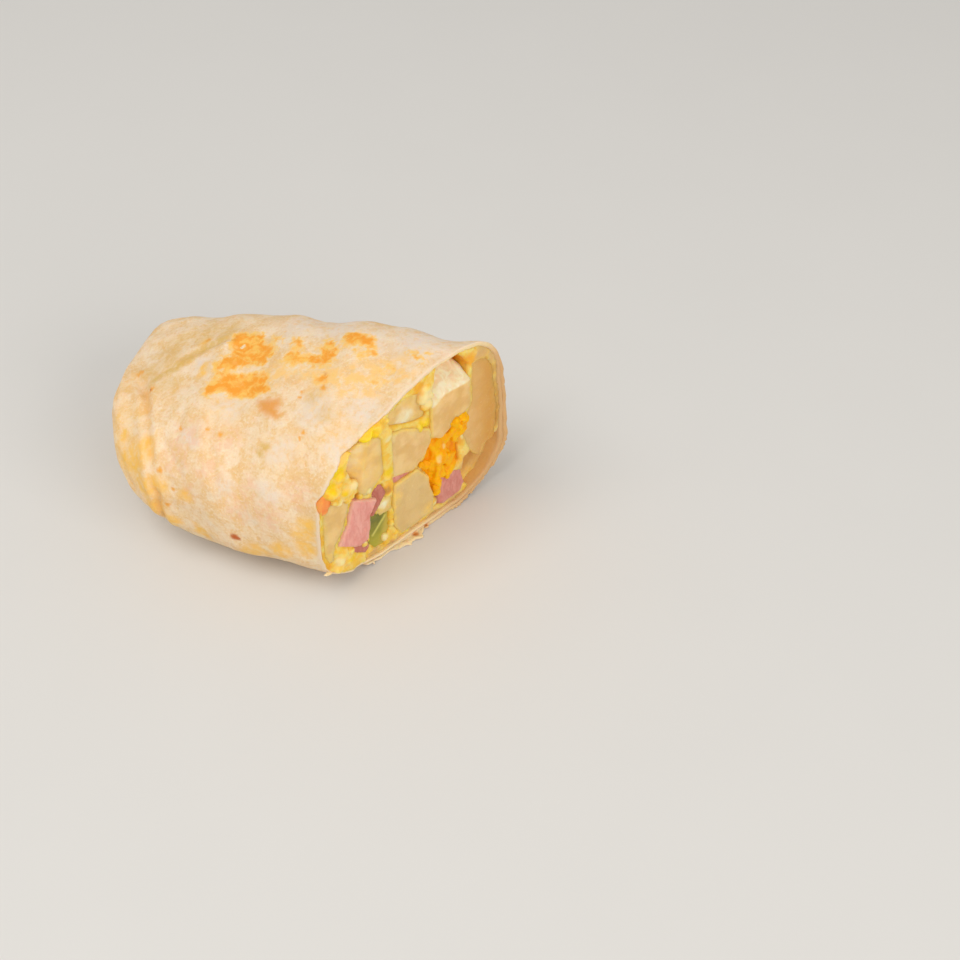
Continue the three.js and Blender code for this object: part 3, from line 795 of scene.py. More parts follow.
def mark_tortilla(tortilla):
    points, normals = points_of(tortilla), normals_of(tortilla)
    facing_up = smooth(normals[:, 2] * 4)
    warp = np.stack([rough_noise(points, 2.6, 3, seed) for seed in (70, 75)], axis=1)
    warped = points[:, :2] + 0.9 * warp
    bent = points + 1.6 * noise_vectors(points, 5, 80)
    small = points + 0.35 * noise_vectors(points, 0.8, 90)
    toast = np.zeros(len(points))
    for strength, soft, outline in TOASTED:
        distance = outline_distance(warped, outline)
        toast = np.maximum(toast, strength * smooth(0.6 - distance / (4.8 * soft)))
    *hole, hole_radius = UNTOASTED
    toast *= 1 - smooth(1.4 - np.linalg.norm(warped - np.array(hole), axis=1) / hole_radius)
    streak = smooth(1.3 - line_distance(bent[:, :2], STREAK.line) / STREAK.half_width)
    weak_olive = 0.5 * spots(bent, OLIVE_WEAK, 1.2)
    end_amber = 0.4 * spots(bent, AMBER_END, 1.3)
    amber_haze = 0.2 * spots(bent, AMBER_HAZE, 1.6)
    u, v, n = to_cut(points)
    centre_y, centre_z = section_centre(np.clip(points[:, 0] + ROLL.origin_x, 0, ROLL.length))
    outwards = (points[:, 1] - centre_y) * normals[:, 1] + (points[:, 2] - centre_z) * normals[:, 2]
    inside = smooth(0.5 - outwards / 6) * (points[:, 0] > -30)
    rim = smooth(1 + (n + 0.5) / 0.7)
    mark(
        tortilla,
        toast=toast * facing_up,
        field=smooth(0.5 - outline_distance(warped, FAINT_FIELD) / 6) * facing_up,
        smudge=smooth(0.5 - outline_distance(warped, SMUDGE) / 3) * facing_up,
        olive=largest(0.9 * streak * facing_up, weak_olive, spots(bent, OLIVE_STRONG, 1.1)),
        amber=largest(spots(bent, AMBER, 1.3), end_amber, amber_haze),
        rosy=spots(bent, ROSY, 1.4),
        pale=spots(bent, PALE, 1.6),
        freckle=spots(small, FRECKLES, 0.8, normals),
        dark=spots(small, DARK_SPOTS, 0.8, normals),
        crease=bell(line_distance(bent, CREASES[0][0]) / 1.4),
        crumb=spots(small, BROWNED_CRUMBS, 0.8),
        rim=rim,
        inside=inside,
        # Painted shade: the rim and the inside darken towards the far side, but not on the crown.
        far_side_shade=np.maximum(rim, inside) * smooth((u + 4) / 26) * smooth((60 - v) / 12),
    )


# ---------------------------------------------------------------- materials
WARM_SPREAD = (1.0, 0.62, 0.32)  # how far red, green and blue light spread inside most of the food


def translucent(weight, scale, radius=WARM_SPREAD):
    """Settings for light that spreads inside the food, which goes scale millimetres deep."""
    return {"Subsurface Weight": weight, "Subsurface Scale": scale * MM, "Subsurface Radius": radius}


def paint(*shown):
    """A colour as a picture shows it, 0 to 255, turned into the linear values of shaders."""
    shown = np.array(shown) / 255
    linear = np.where(shown <= 0.04045, shown / 12.92, ((shown + 0.055) / 1.055) ** 2.4)
    return (*linear.tolist(), 1.0)


class Surface:
    """A material that is put together node by node, with its colour laid on coat by coat.

    Sizes are in millimetres. A colour is a socket, or red, green and blue as a picture shows them.
    """

    def __init__(self, name, roughness, specular, light=None):
        self.material = bpy.data.materials.new(name)
        self.material.use_nodes = True
        self.tree = self.material.node_tree
        self.shader = self.tree.nodes["Principled BSDF"]
        self.place = self.node("ShaderNodeTexCoord").outputs["Object"]
        self.shown = None
        self.set(self.shader, {"Roughness": roughness, "Specular IOR Level": specular})
        self.set(self.shader, light or {})

    def set(self, made, inputs):
        for name, value in inputs.items():
            socket = made.inputs[name]
            if isinstance(value, bpy.types.NodeSocket):
                self.tree.links.new(value, socket)
            else:
                socket.default_value = value

    def node(self, kind, inputs=None, **settings):
        made = self.tree.nodes.new(kind)
        for name, value in settings.items():
            setattr(made, name, value)
        self.set(made, inputs or {})
        return made

    def noise(self, size, detail=2.0, roughness=0.5, distortion=0.0, stretch=None):
        place = self.place
        if stretch:
            place = self.node("ShaderNodeMapping", {"Vector": place, "Scale": stretch}).outputs[0]
        settings = {"Vector": place, "Scale": 1 / (size * MM), "Detail": detail}
        settings |= {"Roughness": roughness, "Distortion": distortion}
        return self.node("ShaderNodeTexNoise", settings).outputs["Fac"]

    def mark(self, name):
        return self.node("ShaderNodeAttribute", attribute_name=name).outputs["Fac"]

    def ramp(self, value, low, high, to_low=0.0, to_high=1.0):
        inputs = {"Value": value, "From Min": low, "From Max": high}
        inputs |= {"To Min": to_low, "To Max": to_high}
        return self.node("ShaderNodeMapRange", inputs, interpolation_type="SMOOTHSTEP").outputs[0]

    def math(self, operation, first, second):
        return self.node("ShaderNodeMath", {0: first, 1: second}, operation=operation).outputs[0]

    def blend(self, factor, *colours):
        """One colour turning into another."""
        first, second = (k if isinstance(k, bpy.types.NodeSocket) else paint(*k) for k in colours)
        inputs = {0: factor, 6: first, 7: second}  # the numbers of its colour sockets
        return self.node("ShaderNodeMix", inputs, data_type="RGBA").outputs[2]

    def base(self, factor, first, second):
        self.shown = self.blend(factor, first, second)

    def coat(self, factor, colour, share=None):
        """Lays a colour where factor says, a socket or the name of a mark, or a share of that."""
        if isinstance(factor, str):
            factor = self.mark(factor)
        if share is not None:
            factor = self.math("MULTIPLY", factor, share)
        self.shown = self.blend(factor, self.shown, colour)

    def finished(self, *bumps):
        """The material with its bumps, each a height and how many millimetres it stands for."""
        normal = {}
        for height, size in bumps:
            inputs = {"Height": height, "Distance": size * MM, "Strength": 1.0} | normal
            normal = {"Normal": self.node("ShaderNodeBump", inputs).outputs[0]}
        self.set(self.shader, {"Base Color": self.shown} | normal)
        return self.material


def tortilla_material():
    look = Surface("tortilla", 0.6, 0.3, translucent(0.25, 1.6))
    mottle = look.noise(1.9, 3, 0.62, 0.25)
    fine = look.noise(0.7, 3, 0.6)
    look.base(look.ramp(mottle, 0.3, 0.66), (236, 196, 138), (245, 214, 171))
    look.coat(look.ramp(look.noise(9, 3, 0.5, 0.4), 0.38, 0.64, 0, 0.8), (237, 194, 134))
    look.coat(look.ramp(look.noise(4.2, 3, 0.6, 0.3), 0.42, 0.64, 0, 0.8), (247, 222, 190))
    look.coat(look.ramp(fine, 0.52, 0.72, 0, 0.6), (251, 230, 202))
    look.coat(look.ramp(fine, 0.46, 0.3, 0, 0.35), (228, 178, 116))
    look.coat("pale", (237, 219, 200), look.ramp(mottle, 0.3, 0.6, 0.35, 0.9))
    look.coat("amber", (254, 197, 92), look.ramp(mottle, 0.34, 0.68, 1, 0.5))
    rosy_patch = look.noise(2.0, 3, 0.6, 0.8)
    look.coat("rosy", (243, 194, 158), look.ramp(rosy_patch, 0.4, 0.6, 0.6, 0.05))
    look.coat("olive", (222, 180, 96), look.ramp(mottle, 0.3, 0.7, 1, 0.5))
    look.coat("crease", (236, 174, 84), 0.45)
    field_patch = look.noise(3.0, 3, 0.55, 0.15)
    look.coat("field", (253, 204, 130), look.ramp(field_patch, 0.38, 0.6, 0.12, 1.0))
    spared = look.ramp(look.noise(1.9, 4, 0.58, 0.3), 0.3, 0.72, 0, 0.5)
    toast = look.math("SUBTRACT", look.mark("toast"), spared)
    look.coat(look.ramp(toast, -0.12, 0.36), (254, 206, 124))
    toast_patch = look.ramp(look.noise(2.8, 3, 0.6, 0.5), 0.34, 0.58)
    deep = look.blend(toast_patch, (255, 198, 98), (252, 164, 50))
    look.coat(look.ramp(toast, 0.14, 0.66), deep)
    look.coat("smudge", (233, 156, 62), 0.9)
    look.coat("freckle", (242, 170, 70))
    look.coat("dark", (196, 100, 42))
    look.coat("rim", (242, 214, 182))
    look.coat("inside", (250, 222, 170))
    # painted shade on the far side's rim and inside
    look.coat("far_side_shade", look.blend(look.mark("rim"), (220, 164, 76), (210, 158, 98)), 0.8)
    look.coat("crumb", (226, 146, 70))
    return look.finished((mottle, 0.2), (fine, 0.1), (look.noise(0.35, 2), 0.04))


def potato_material():
    look = Surface("potato", 0.4, 0.4, translucent(0.6, 3.5))
    cloud = look.noise(5, 3, 0.5)
    patch = look.noise(2.2, 3, 0.6, 0.6)
    grain = look.noise(0.6, 3, 0.6)
    look.base(look.ramp(cloud, 0.35, 0.65), (228, 183, 114), (245, 206, 142))
    look.coat("dull", (214, 184, 122), 0.8)
    # painted brown shade towards the far side
    look.coat("brown_shade", (214, 153, 64))
    look.coat("yellow", (252, 208, 96), look.ramp(patch, 0.3, 0.62, 0.9, 0.35))
    cream_patch = look.noise(3.2, 3, 0.6, 0.4)
    # painted light on lit tops and facets, and painted highlights
    look.coat("painted_light", (255, 240, 206), look.ramp(cream_patch, 0.38, 0.58, 0.5, 1.0))
    look.coat("edge", (255, 206, 100), look.ramp(patch, 0.35, 0.6, 0.9, 0.5))
    look.coat(look.ramp(grain, 0.62, 0.74, 0, 0.4), (252, 232, 180))
    return look.finished((grain, 0.08), (cloud, 0.3))


def egg_material():
    look = Surface("egg", 0.36, 0.4, translucent(0.5, 3.2))
    curd = look.noise(2.6, 3, 0.6, 0.5)
    grain = look.noise(0.7, 3, 0.6)
    look.base(look.ramp(curd, 0.38, 0.62), (254, 196, 62), (255, 216, 118))
    look.coat(look.ramp(grain, 0.6, 0.75, 0, 0.5), (254, 230, 160))
    look.coat("yolk", (255, 206, 0))
    look.coat("tan", (220, 176, 110), 0.95)
    # painted shade in crevices, pits and hollows
    look.coat("deep", (253, 176, 38))
    # painted brown shade in hollows and gaps
    look.coat("brown_shade", (204, 144, 58))
    look.coat("white", (254, 226, 160))
    return look.finished((curd, 0.25), (grain, 0.12))


def cheddar_material():
    look = Surface("cheddar", 0.45, 0.15, translucent(0.4, 1.6, (1.0, 0.6, 0.1)))
    patch = look.noise(2.2, 3, 0.6)
    look.base(look.ramp(patch, 0.35, 0.65), (255, 168, 0), (255, 190, 4))
    # painted shade behind the cut face
    look.coat("deep", (238, 128, 0))
    # painted highlights
    look.coat("pale", (255, 206, 120))
    return look.finished((patch, 0.15), (look.noise(0.6, 3), 0.07))


def ham_material():
    look = Surface("ham", 0.4, 0.4, translucent(0.35, 2.0, (1.0, 0.4, 0.3)))
    fibre = look.noise(1.4, 4, 0.6, 0.8, (1.0, 1.0, 0.35))
    look.base(look.ramp(fibre, 0.35, 0.68), (229, 150, 137), (240, 172, 157))
    look.coat(look.ramp(look.noise(3.5, 3, 0.6), 0.5, 0.72, 0, 0.5), (216, 126, 112))
    look.coat("edge", (246, 196, 168), 0.6)
    # painted shade on the darker pieces and ends
    look.coat("dark", (184, 100, 80), look.ramp(fibre, 0.35, 0.65, 1.0, 0.72))
    return look.finished((fibre, 0.14), (look.noise(0.5, 3), 0.06))


def pepper_material(name, low, high, **marks):
    """A pepper's skin between two colours, with marks of other colours."""
    look = Surface(name, 0.28, 0.45, translucent(0.25, 1.5))
    patch = look.noise(3, 3, 0.5)
    look.base(look.ramp(patch, 0.35, 0.65), low, high)
    for mark_name, colour in marks.items():
        look.coat(mark_name, colour)
    return look.finished((patch, 0.15), (look.noise(0.8, 2), 0.05))


# ---------------------------------------------------------------- pieces at the cut
PIECE_VOXEL = 0.4
# The left side of the upper potato falls away behind a line across its face.
FACET = Sizes(node="potato_upper", top=(-17.2, 50), foot=(-21.6, 31), slope=0.6)
# What the solids of the pieces lack at the cut, as hulls of [u, v, n] corners. The crown's potato
# rises behind the cut to a sloping top, and the slice beside it sags between its neighbours. The
# others get the outline that their cut faces show.
ADDED = {
    "pepper_green": (
        (-18.8, 20.4, -0.5), (-15.4, 18.4, -0.5), (-11.2, 17.4, -0.5), (-11.0, 11.6, -0.5),
        (-13.6, 5.4, -0.5), (-17.2, 5.8, -0.5), (-19.2, 9, -0.5), (-18.8, 20.4, -8),
        (-11.2, 17.4, -8), (-11.0, 11.6, -8), (-13.6, 5.4, -8), (-17.2, 5.8, -8), (-19.2, 9, -8),
    ),
    "potato_small": (
        (-16.0, 22.2, -0.3), (-14.2, 23.9, -0.1), (-10.4, 23.2, 0.1), (-10.3, 18.2, -0.1),
        (-14.4, 17.6, -0.3), (-15.4, 22, -5), (-11, 22.6, -5), (-11, 18.6, -5), (-14.2, 18.2, -5),
    ),
    "pepper_orange": (
        (-34.9, 34.6, 0.1), (-34.5, 37.0, 0.2), (-33.3, 39.2, 0.3), (-31.5, 38.7, 0.4),
        (-31.7, 35.9, 0.4), (-32.8, 32.9, 0.4), (-34.5, 32.8, 0.2), (-34, 37, -6), (-32.5, 38, -6),
        (-33, 33.5, -6),
    ),
    "potato_crown": (
        (5.6, 46.4, 0.7), (10.2, 48.8, 0.8), (19.7, 48.0, 0.7), (6.8, 52.4, -5.4),
        (11.2, 55.4, -6.6), (15.8, 55.2, -6.2), (19.6, 50.9, -3.6), (6.2, 42, -1), (19.6, 42, -1),
        (7, 46, -9), (19.4, 46, -9), (8, 53, -9), (18.6, 52, -9),
    ),
    "potato_far": (
        (20.2, 20.4, -0.3), (22.0, 17.4, -0.3), (24.2, 15.5, -0.3), (26.8, 18.2, -0.3),
        (29, 22, -0.3), (25, 26, -0.3), (20.2, 20.4, -10), (24.2, 15.5, -10), (26.8, 18.2, -10),
        (29, 22, -10), (25, 26, -10),
    ),
    "ham_low": (
        (-25.2, 13, -0.2), (-24.6, 9.9, -0.2), (-21.0, 7.0, -0.2), (-19.2, 8.0, -0.2),
        (-19.4, 12.2, -0.2), (-24.4, 13, -9), (-24, 10, -9), (-21, 8, -9), (-19.6, 9, -9),
    ),
    "ham_middle": (
        (-16.7, 27.0, -0.3), (-14.0, 28.8, -0.3), (-12.4, 28.2, -0.3), (-12.0, 25.1, -0.3),
        (-13.2, 24.2, -0.1), (-16.2, 21.6, 0.2), (-17.4, 19.6, 0.2), (-18.2, 20.4, 0.2),
        (-17.6, 23.4, 0), (-16.4, 26.8, -8), (-12.4, 28, -8), (-12.4, 22.6, -8), (-15.7, 22.8, -8),
    ),
    "potato_slice": (
        (-9.8, 52, -0.8), (4.2, 47, -0.8), (4.0, 43.8, -0.9), (-0.5, 44.2, -0.8), (-5, 46.9, -0.8),
        (-9.8, 48.6, -0.8), (-9.8, 52, -8), (4.2, 47, -8), (4.0, 43.8, -8), (-5, 46.9, -8),
        (-9.8, 48.6, -8),
    ),
}
# How far pieces that would lie hidden behind their neighbours are moved out.
FORWARD = {"ham_strip": 0.8, "ham_middle": 0.4, "ham_low": 1.0}
# How yellow and dull a diced potato is, and how much painted brown shade it gets.
POTATO_TINTS = {
    "potato_front": (0.25, 0.2, 0.1), "potato_upper": (0.4, 0.0, 0.0),
    "potato_middle": (0.1, 0.1, 0.1), "potato_slice": (0.5, 0.0, 0.0),
    "potato_lower": (0.1, 0.8, 0.0), "potato_crown": (0.15, 0.0, 0.25),
    "potato_far": (0.1, 0.2, 1.0), "potato_small": (0.6, 0.0, 0.0),
}
# Where egg has coloured the diced potato, and painted highlights on it, as [u, v, radius].
STAINED = (
    (-21, 44, 4.2), (-17, 49.5, 2.4), (-3, 55, 3.2), (4, 46, 2), (-36, 28, 3), (-35, 15, 3),
    (-9.6, 22, 2), (2, 9, 2), (-13, 21, 4),
)
PAINTED_HIGHLIGHTS = ((-3.5, 48.5, 2.6), (-13, 21.4, 1.5))
# How much painted shade darkens each piece of ham.
HAM_SHADES = {"ham_middle": 1.0, "ham_strip": 0.4, "ham_low": 0.8, "ham_far": 0.45}
VEIN = Sizes(line=((-12.7, 16.4), (-17.5, 11.7)), half_width=0.6)  # of the green pepper


def shade(piece, material, node):
    """Gives a piece its material and smooth shading, hangs it on the root body, and hides the solid it
    stands for.
    """
    piece.data.materials.clear()
    piece.data.materials.append(material)
    piece.data.polygons.foreach_set("use_smooth", np.ones(len(piece.data.polygons), bool))
    piece.data.update()
    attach(piece, "root")
    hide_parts(node)


def face_spots(u, v, places, border=0.9):
    """Spots of the cut face, given as [u, v, radius]."""
    return spots(stacked(u, v), places, border)


def bent_to_cut(points, size, amount):
    """u, v and n of points that are moved about a little, so that marks get uneven outlines."""
    return to_cut(points + amount * noise_vectors(points, size, 30))


def piece_solid(node, name):
    """A piece's solid with what is added to it, moved out where it would lie hidden."""
    piece = shifted(copy_of(node, name), FORWARD.get(node, 0) * CUT_OUT)
    if node in ADDED:
        combined(piece, hull(ADDED[node]), "UNION")
    return piece


def roughened(piece, lumps, grown):
    """Points of a piece with an uneven surface, and sides that reach out by grown."""
    points, normals = points_of(piece), normals_of(piece)
    size, height = lumps
    on_side = 1 - smooth((normals @ CUT_OUT - 0.5) / 0.4)
    uneven = height * rough_noise(points, size, 3, 7)
    uneven = uneven + on_side * (grown + 0.22 * rough_noise(points, 2.6, 2, 9))
    return points + normals * uneven[:, None]


def sloped_back(points):
    """Points of the piece with the facet, and 1 on the facet or 0 beside it."""
    (top_u, top_v), (foot_u, foot_v) = FACET.top, FACET.foot
    u, v, n = to_cut(points)
    ridge = mix(foot_u, top_u, (v - foot_v) / (top_v - foot_v))
    fall = FACET.slope * np.maximum(ridge - u, 0) * smooth((n + 6) / 6)
    points = from_cut(u, v, n - fall)
    return points, smooth((ridge - u + 0.4 * noise(points, 1.5, 11)) / 2)


def mark_potato(piece, node, points, facet, lit_top):
    yellow, dull, brown_shade = POTATO_TINTS[node]
    u, v, n = bent_to_cut(points, 2.2, 0.9)
    # Painted shade: the potatoes darken to brown towards the far side.
    if node == "potato_far":
        brown_shade = mix(0.35, brown_shade, smooth((u - 20) / 9))
    else:
        brown_shade = brown_shade * smooth((u + 4) / 34)
    mark(
        piece,
        # the sloping facet gets painted light as a brighter yellow; the rest is the piece's tint and
        # egg stains
        yellow=largest(yellow, 0.8 * facet, face_spots(u, v, STAINED, 1.3)),
        painted_light=largest(lit_top, face_spots(u, v, PAINTED_HIGHLIGHTS, 1.2)),
        dull=np.full(len(points), dull),
        brown_shade=brown_shade,
    )


def dress_piece(node, rounds, lumps, grown, material):
    """A diced piece: its solid with softer corners and an uneven surface."""
    piece = smoothed(remeshed(piece_solid(node, node + "_piece"), PIECE_VOXEL), rounds)
    normals = normals_of(piece)
    points = roughened(piece, lumps, grown)
    u, v, n = to_cut(points)
    facet = np.zeros(len(points))
    if node == FACET.node:
        points, facet = sloped_back(points)
    place_points(piece, points)
    facing_up = smooth((normals @ CUT_UP - 0.25) / 0.35) * (node == "potato_crown")
    border = smooth((0.97 - normals @ CUT_OUT) / 0.4)  # 1 on the sides, 0 in the face's middle
    mark(piece, edge=border * (1 - facing_up))
    if node in POTATO_TINTS:
        # Painted light: the crown's top face and the upper potato's sloping facet are painted pale as
        # if lit.
        lit_top = largest(facing_up, 0.4 * facet * smooth((v - 39) / 4))
        mark_potato(piece, node, points, facet, lit_top)
    if node in HAM_SHADES:
        # Painted shade on the left end of the far piece of ham.
        shaded_end = smooth((8.6 - u) / 1.6) * (node == "ham_far")
        mark(piece, dark=np.maximum(HAM_SHADES[node], shaded_end))
    if node == "pepper_green":
        from_vein = line_distance(stacked(u, v), VEIN.line)
        mark(
            piece,
            vein=smooth(1.2 - from_vein / VEIN.half_width),
            lime=0.8 * smooth((16.5 - v) / 9),
            olive=smooth((u + 0.3 * (14 - v) + 14.6) / 2.6),
        )
    shade(piece, material, node)


# ---------------------------------------------------------------- torn bits of the wrap's edge
# Flat flakes on the cut edge: where they are and where they point, as [u, v, n], and their
# length, width and thickness.
FLAKES = (
    ((-34.3, 9.3, 0.1), (-0.85, 0.5, 0.2), (2.2, 0.5, 0.35)),
    ((2.0, 0.9, 0.2), (0.6, 0.3, 0.5), (0.7, 0.5, 0.4)),
)
# A torn scrap of the lower edge that lies on the floor, as [u, n] corners.
SCRAP = Sizes(low=0.12, high=0.95, voxel=0.24)
SCRAP_OUTLINE = (
    (-12.4, -0.6), (-10.6, 0.1), (-9.2, 0.9), (-8.0, 0.8), (-6.6, 1.5), (-5.4, 2.2), (-4.6, 1.4),
    (-3.2, 1.6), (-2.2, 2.5), (-0.8, 2.3), (-0.6, 1.2), (0.6, 0.7), (1.6, -0.6),
)
BITS = Sizes(
    count=9,
    turns=(-112 * DEG, -62 * DEG),  # where they lie along the lower edge
    length=(0.3, 0.6),
    flatness=0.6,
    uneven=0.45,
    seed=9,
)


def flake(middle, way, sizes, random):
    """A flat, uneven scrap that points along way."""
    along = np.array(way) / np.linalg.norm(way)
    up = np.array([0, 1, 0]) - along[1] * along
    up /= np.linalg.norm(up)
    scrap = lump(0, 0, 0, 1, random, BITS.uneven)
    local = (points_of(scrap) - CUT_MIDDLE) * np.array(sizes)
    turned = local @ np.array([along, np.cross(up, along), up])
    return place_points(scrap, from_cut(*(turned + np.array(middle)).T))


def torn_scrap():
    u, n = np.array(SCRAP_OUTLINE * 2, float).T
    scrap = block("scrap", from_cut(u, np.repeat((SCRAP.low, SCRAP.high), len(SCRAP_OUTLINE)), n))
    smoothed(remeshed(scrap, SCRAP.voxel), 1)
    points, normals = points_of(scrap), normals_of(scrap)
    curl = 0.25 * noise(points * (1, 1, 0), 1.6, 33)
    rough = 0.16 * rough_noise(points, 0.9, 2, 31)
    return place_points(scrap, points + normals * rough[:, None] + stacked(0, 0, curl))


def torn_bits():
    random = np.random.default_rng(BITS.seed)
    scraps = [flake(*one, random) for one in FLAKES]
    share = np.array([[1.0]])
    for turn in random.uniform(*BITS.turns, BITS.count):
        angle = np.array([[turn]])
        edge = roll_points(share, angle, lambda x, angle: 0.35 + 0 * x, ragged(share, angle))
        u, v, n = to_cut(edge[0, 0])
        way = (random.normal(), random.normal(), 1.0)
        length = random.uniform(*BITS.length)
        middle = (u, max(v, 0.45), n + random.uniform(-0.25, 0.05))
        scraps.append(flake(middle, way, (length, 0.7 * length, BITS.flatness * length), random))
    bits = torn_scrap()
    for scrap in scraps:
        combined(bits, scrap, "UNION")
    points = points_of(bits)
    points[:, 2] = np.maximum(points[:, 2], 0.02)
    return place_points(bits, points)


# ---------------------------------------------------------------- egg
EGG = Sizes(
    front=-0.4,  # its face lies this far behind the cut
    back=13.0,  # behind this, the solid is as it was
    overlap=1.0,  # of the dressed front and the solid behind it
    voxel=0.42,
    swell=0.42,
    curd=(2.3, 0.45),  # size and height of the curds
    grain=(0.9, 0.12),
    crumbs=60,
    crumb_size=(0.45, 0.95),
    deepest_crumb=-2.4,  # crumbs lie only where the face is further out than this
    into_wall=0.15,  # it reaches this share of the sheet's thickness into the wall
    # the colour of the crevices is painted shade
    room=(2.4, 0.4),  # and ends at the latest here, past the cut and into the wall
    crevice=0.55,  # how deep the colour of its crevices is
    seed=5,
)
UNEVEN = 0.4  # how uneven curds and melted lumps are
CORE = Sizes(rows=26, around=220)
# Where the filling has settled, as a [u, v] outline and how deep.
HOLLOWS = (
    (
        ((5.6, 47.4), (10, 49), (20.0, 48.4), (20.4, 53), (18.4, 57), (14, 62), (8, 60), (6.6, 54)),
        7,
    ),
    (
        (
            (17.6, 18.2), (20.4, 19.4), (27, 20), (34, 20), (34, 12), (22, 2), (18.3, 6.4),
            (16.9, 13.6),
        ),
        3.6,
    ),
    (((-24.2, 31.6), (-21.6, 33), (-21.2, 30.6), (-23, 30)), 3),
    (((5.5, 16.4), (7.9, 16.8), (7.9, 6.0), (5.3, 6.4)), 4),
    (
        (
            (-21, 6.4), (-13, 4.9), (-4.9, 5.2), (3.7, 4.8), (9.6, 4.8), (17.4, 7.4), (24.6, 13.2),
            (28.4, 17), (32, 22), (38, 22), (36, 4), (20, -3), (-21, -3),
        ),
        1.3,
    ),
)
# Larger curds, as [u, v, n, radius].
CURDS = (
    (-29.6, 12.6, -1.4, 2.9), (-31.0, 9.0, -1.6, 2.2), (-27.4, 9.8, -1.5, 2.0),
    (-30.4, 15.6, -1.2, 1.6), (-30.0, 38.8, -1.2, 2.3), (-27.4, 42.2, -1.3, 2.1),
    (-26.0, 35.8, -1.2, 2.0), (-28.6, 34.0, -0.8, 1.4), (-23.4, 37.0, -0.4, 1.3),
    (-25.6, 46.0, -1.8, 1.2), (-22.8, 51.2, -1.8, 1.2), (-17.4, 52.0, -1.1, 2.2),
    (-13.6, 51.2, -1.0, 1.6), (-11.6, 31.6, -0.6, 1.3), (3.0, 51.6, -0.9, 2.3),
    (4.4, 54.2, -1.3, 1.9), (4.6, 48.4, -0.8, 1.7), (22.6, 56.0, -2.5, 2.2),
    (17.6, 30.4, -0.8, 1.1), (-13.7, 8.4, -0.6, 1.0), (-18.2, 31.2, -0.5, 1.1),
    (-10.4, 16.4, -0.5, 1.2), (-10.8, 12.2, -0.5, 1.0), (-9.4, 7.4, -0.6, 1.1),
    (0.8, 41.6, -0.6, 1.0), (3.2, 42.2, -0.6, 1.1), (-20.8, 10.6, -0.9, 1.0), (5.8, 8.6, -0.8, 1.1),
)
# All that follow are [u, v, radius]. First where crumbs of egg are scattered.
CRUMBLY = (
    (-30, 38, 4), (-27, 33, 3), (-29.5, 11, 4), (-10, 13, 3), (-14, 50, 4), (4, 51, 3),
    (-6, 6.5, 3), (-20, 31, 2),
)
# Parts of the egg's face, by colour. The deep and brown spots are painted shade in its pits, hollows
# and gaps.
YOLK = (
    (-17.0, 51.2, 3.6), (-23.4, 51.2, 1.7), (2.6, 41.8, 2.2), (-27.6, 44.5, 2.0), (-26, 9, 1.5),
    (-30.5, 41, 1.6), (-11.2, 34, 1.5), (-16, 29.6, 1.4), (-26.8, 36.6, 1.2), (-31.6, 31, 2),
)
WHITE = (
    (-23.3, 37.1, 1.4), (-28.5, 33.6, 1.2), (-18, 31.3, 1.2), (-13.7, 8.4, 1.2), (-20.8, 12.6, 1.0),
    (3.8, 51.5, 3.2), (-30.5, 12, 1.3), (-11.2, 46, 1.0), (-24.4, 41, 1.1), (5.6, 8, 0.9),
    (18, 28, 1.6), (-6, 7.4, 0.9),
)
DEEP_SHADE = (
    (16.4, 27, 2.2), (-22.5, 32, 1.1), (-11.7, 26.4, 2.0), (1, 54.6, 1.4), (1.2, 57, 1.6),
    (20, 54.5, 2.4), (13, 61, 1.8), (6.4, 12, 1.8), (-37, 24, 3), (-36.4, 17, 2.6), (-35, 12, 2),
)
TAN = (
    (22, 13, 5), (26, 12, 5), (33, 46, 3.4), (33.4, 39, 3.4), (33.6, 32, 3.4), (33, 25, 3.4),
    (31, 18, 3.6), (30.6, 51, 3.4), (14, 3.4, 3), (6, 3, 2.6), (-2, 3, 2.4), (-10, 3, 2.2),
    (-17, 4, 2.2), (25, 55, 3), (18, 16, 2.4),
)
# Painted shade, brown, in the hollows, in the gap beside the far wall and in gaps between pieces.
GAP_SHADE = (
    (21.5, 17.5, 2.6), (24, 14.5, 3.2), (20.4, 12.5, 2.6), (33.2, 46, 3.4), (33.4, 40.5, 3.6),
    (33.4, 35.5, 3.6), (33.4, 30.5, 3.6), (32.2, 26, 3.4), (6.3, 12, 1.4), (6.2, 8, 1.2),
    (-11.8, 26.0, 1.3),
)
# Where egg fills a narrow gap, as [u, v] corners: beside the near wall, and in the seam between
# two potatoes.
BESIDE_WALL = (
    (-31, 8), (-35, 9), (-38.5, 14), (-39, 33), (-33.5, 36), (-34.4, 28), (-35, 16), (-32.4, 11),
)
SEAM = ((-12.6, 31), (-9.4, 31), (-9.4, 48.4), (-12.9, 48.4))
SEAM_FRONT = 0.4  # the egg in the seam stands this far out of the cut
# Where it is smoother, as [u, v, radius].
SEAM_PARTS = ((-11, 46, 2.4), (-11, 42, 2.4), (-11, 38, 2.4), (-11, 34, 2.4))
SQUARE = ((-60, -10), (60, -10), (60, 90), (-60, 90))  # wider than the cut


def core_mesh(name, front, into_wall):
    """The room inside the shell up to front, and a share of the sheet's thickness into it."""
    share = 1 + np.linspace(-EGG.back - 2, front / 0.9, CORE.rows)[:, None] / ROLL.length
    angle = even_angles(CORE.around, 0, TAU)[None, :-1]

    def depth(x, angle):
        return shell_outer(x, angle) + thickness(share, angle) * (1 - into_wall)

    rings = roll_points(share, angle, depth)
    return faced_outwards(tube_object(name, rings, rings[0].mean(axis=0), rings[-1].mean(axis=0)))


